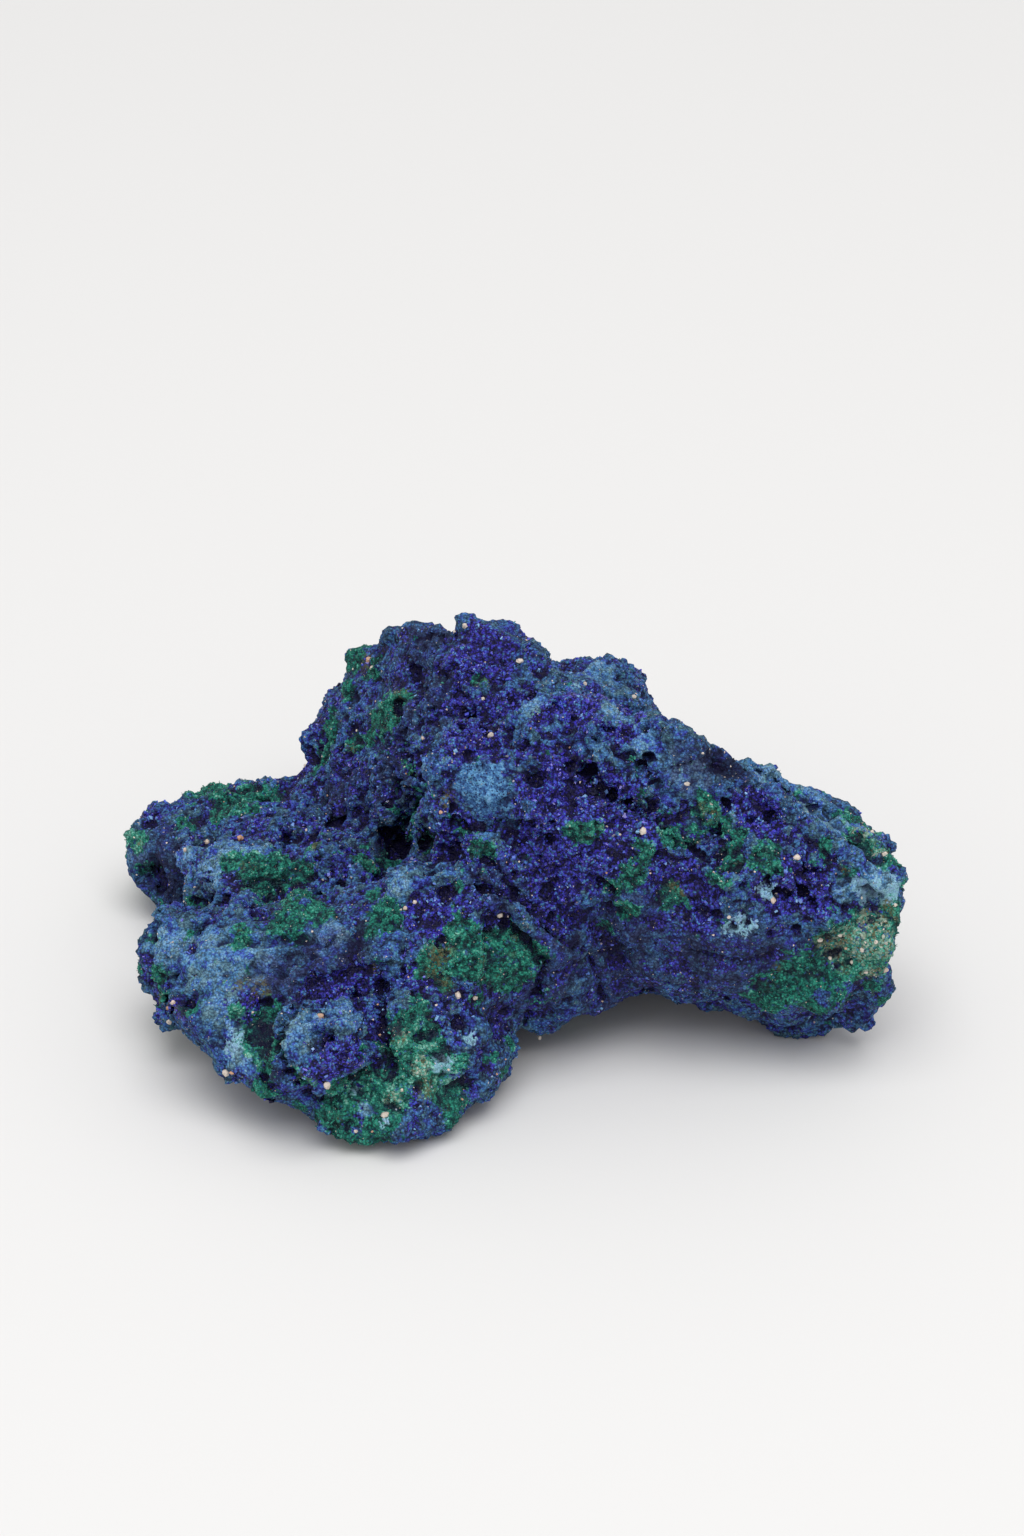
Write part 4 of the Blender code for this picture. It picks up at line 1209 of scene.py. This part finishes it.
crustSkin.data.polygons.foreach_set("use_smooth", np.ones(len(crustSkin.data.polygons), bool))
crustFinish = crustMaterial()
crystal = crystalMaterial()
dress(crustSkin, crustFinish)
dress(knobs, crustFinish)
dress(druseCoarse, crystal)
dress(druseFine, crystal)
dress(malachiteTufts, malachiteMaterial())
sandAndGlintFinish = sandAndGlintMaterial()
dress(sandAndGlints, sandAndGlintFinish)
dress(largeGrains, sandAndGlintFinish)
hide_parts("azurite_specimen")
print("finishes on")

# ---- the pale floor and the soft light

studio = {
    "floorWidth": 6.0,
    "floorAlbedo": (0.76, 0.755, 0.75, 1.0),
    "floorRoughness": 0.8,
    "paperGrain": 1.2,
    "paperBump": 0.01,
    "paperStrength": 0.2,
    "lampAt": (0.05, -0.34, 0.95),
    "lampAim": (0.0, 0.0, 0.0),
    "lampWidth": 0.90,
    "lampWatts": 7.6,
    "skyColour": (1.0, 0.995, 0.99, 1.0),
    "skyForLight": 0.65,
    "skyForEye": 0.86,
}


def addFloor():
    shell = bmesh.new()
    bmesh.ops.create_grid(shell, x_segments=1, y_segments=1, size=studio["floorWidth"] / 2)
    floor = newObject("studio_floor", meshFrom(shell, "studio_floor"))
    material, tree, place = newMaterial("paper floor")
    paper = grainAt(tree, place, studio["paperGrain"])
    closeMaterial(tree, studio["floorAlbedo"], studio["floorRoughness"], paper["Cloud"],
                  studio["paperBump"], studio["paperStrength"])
    floor.data.materials.append(material)


def addLamp():
    data = bpy.data.lights.new("soft lamp", "AREA")
    data.shape = "SQUARE"
    data.size = studio["lampWidth"]
    data.energy = studio["lampWatts"]
    lamp = newObject("soft lamp", data)
    lamp.location = studio["lampAt"]
    aim = Vector(studio["lampAim"]) - Vector(studio["lampAt"])
    lamp.rotation_euler = aim.to_track_quat("-Z", "Y").to_euler()


def addSky():
    world = bpy.data.worlds.new("studio")
    world.use_nodes = True
    tree = world.node_tree
    tree.nodes.clear()
    path = addNode(tree, "ShaderNodeLightPath")
    strength = remap(tree, path.outputs["Is Camera Ray"], 0.0, 1.0, studio["skyForLight"],
                     studio["skyForEye"])
    sky = addNode(tree, "ShaderNodeBackground", {"Color": studio["skyColour"], "Strength": strength})
    addNode(tree, "ShaderNodeOutputWorld", {"Surface": sky.outputs["Background"]})
    bpy.context.scene.world = world


addFloor()
addLamp()
addSky()
bpy.context.scene.view_settings.view_transform = "Standard"
print("studio ready")
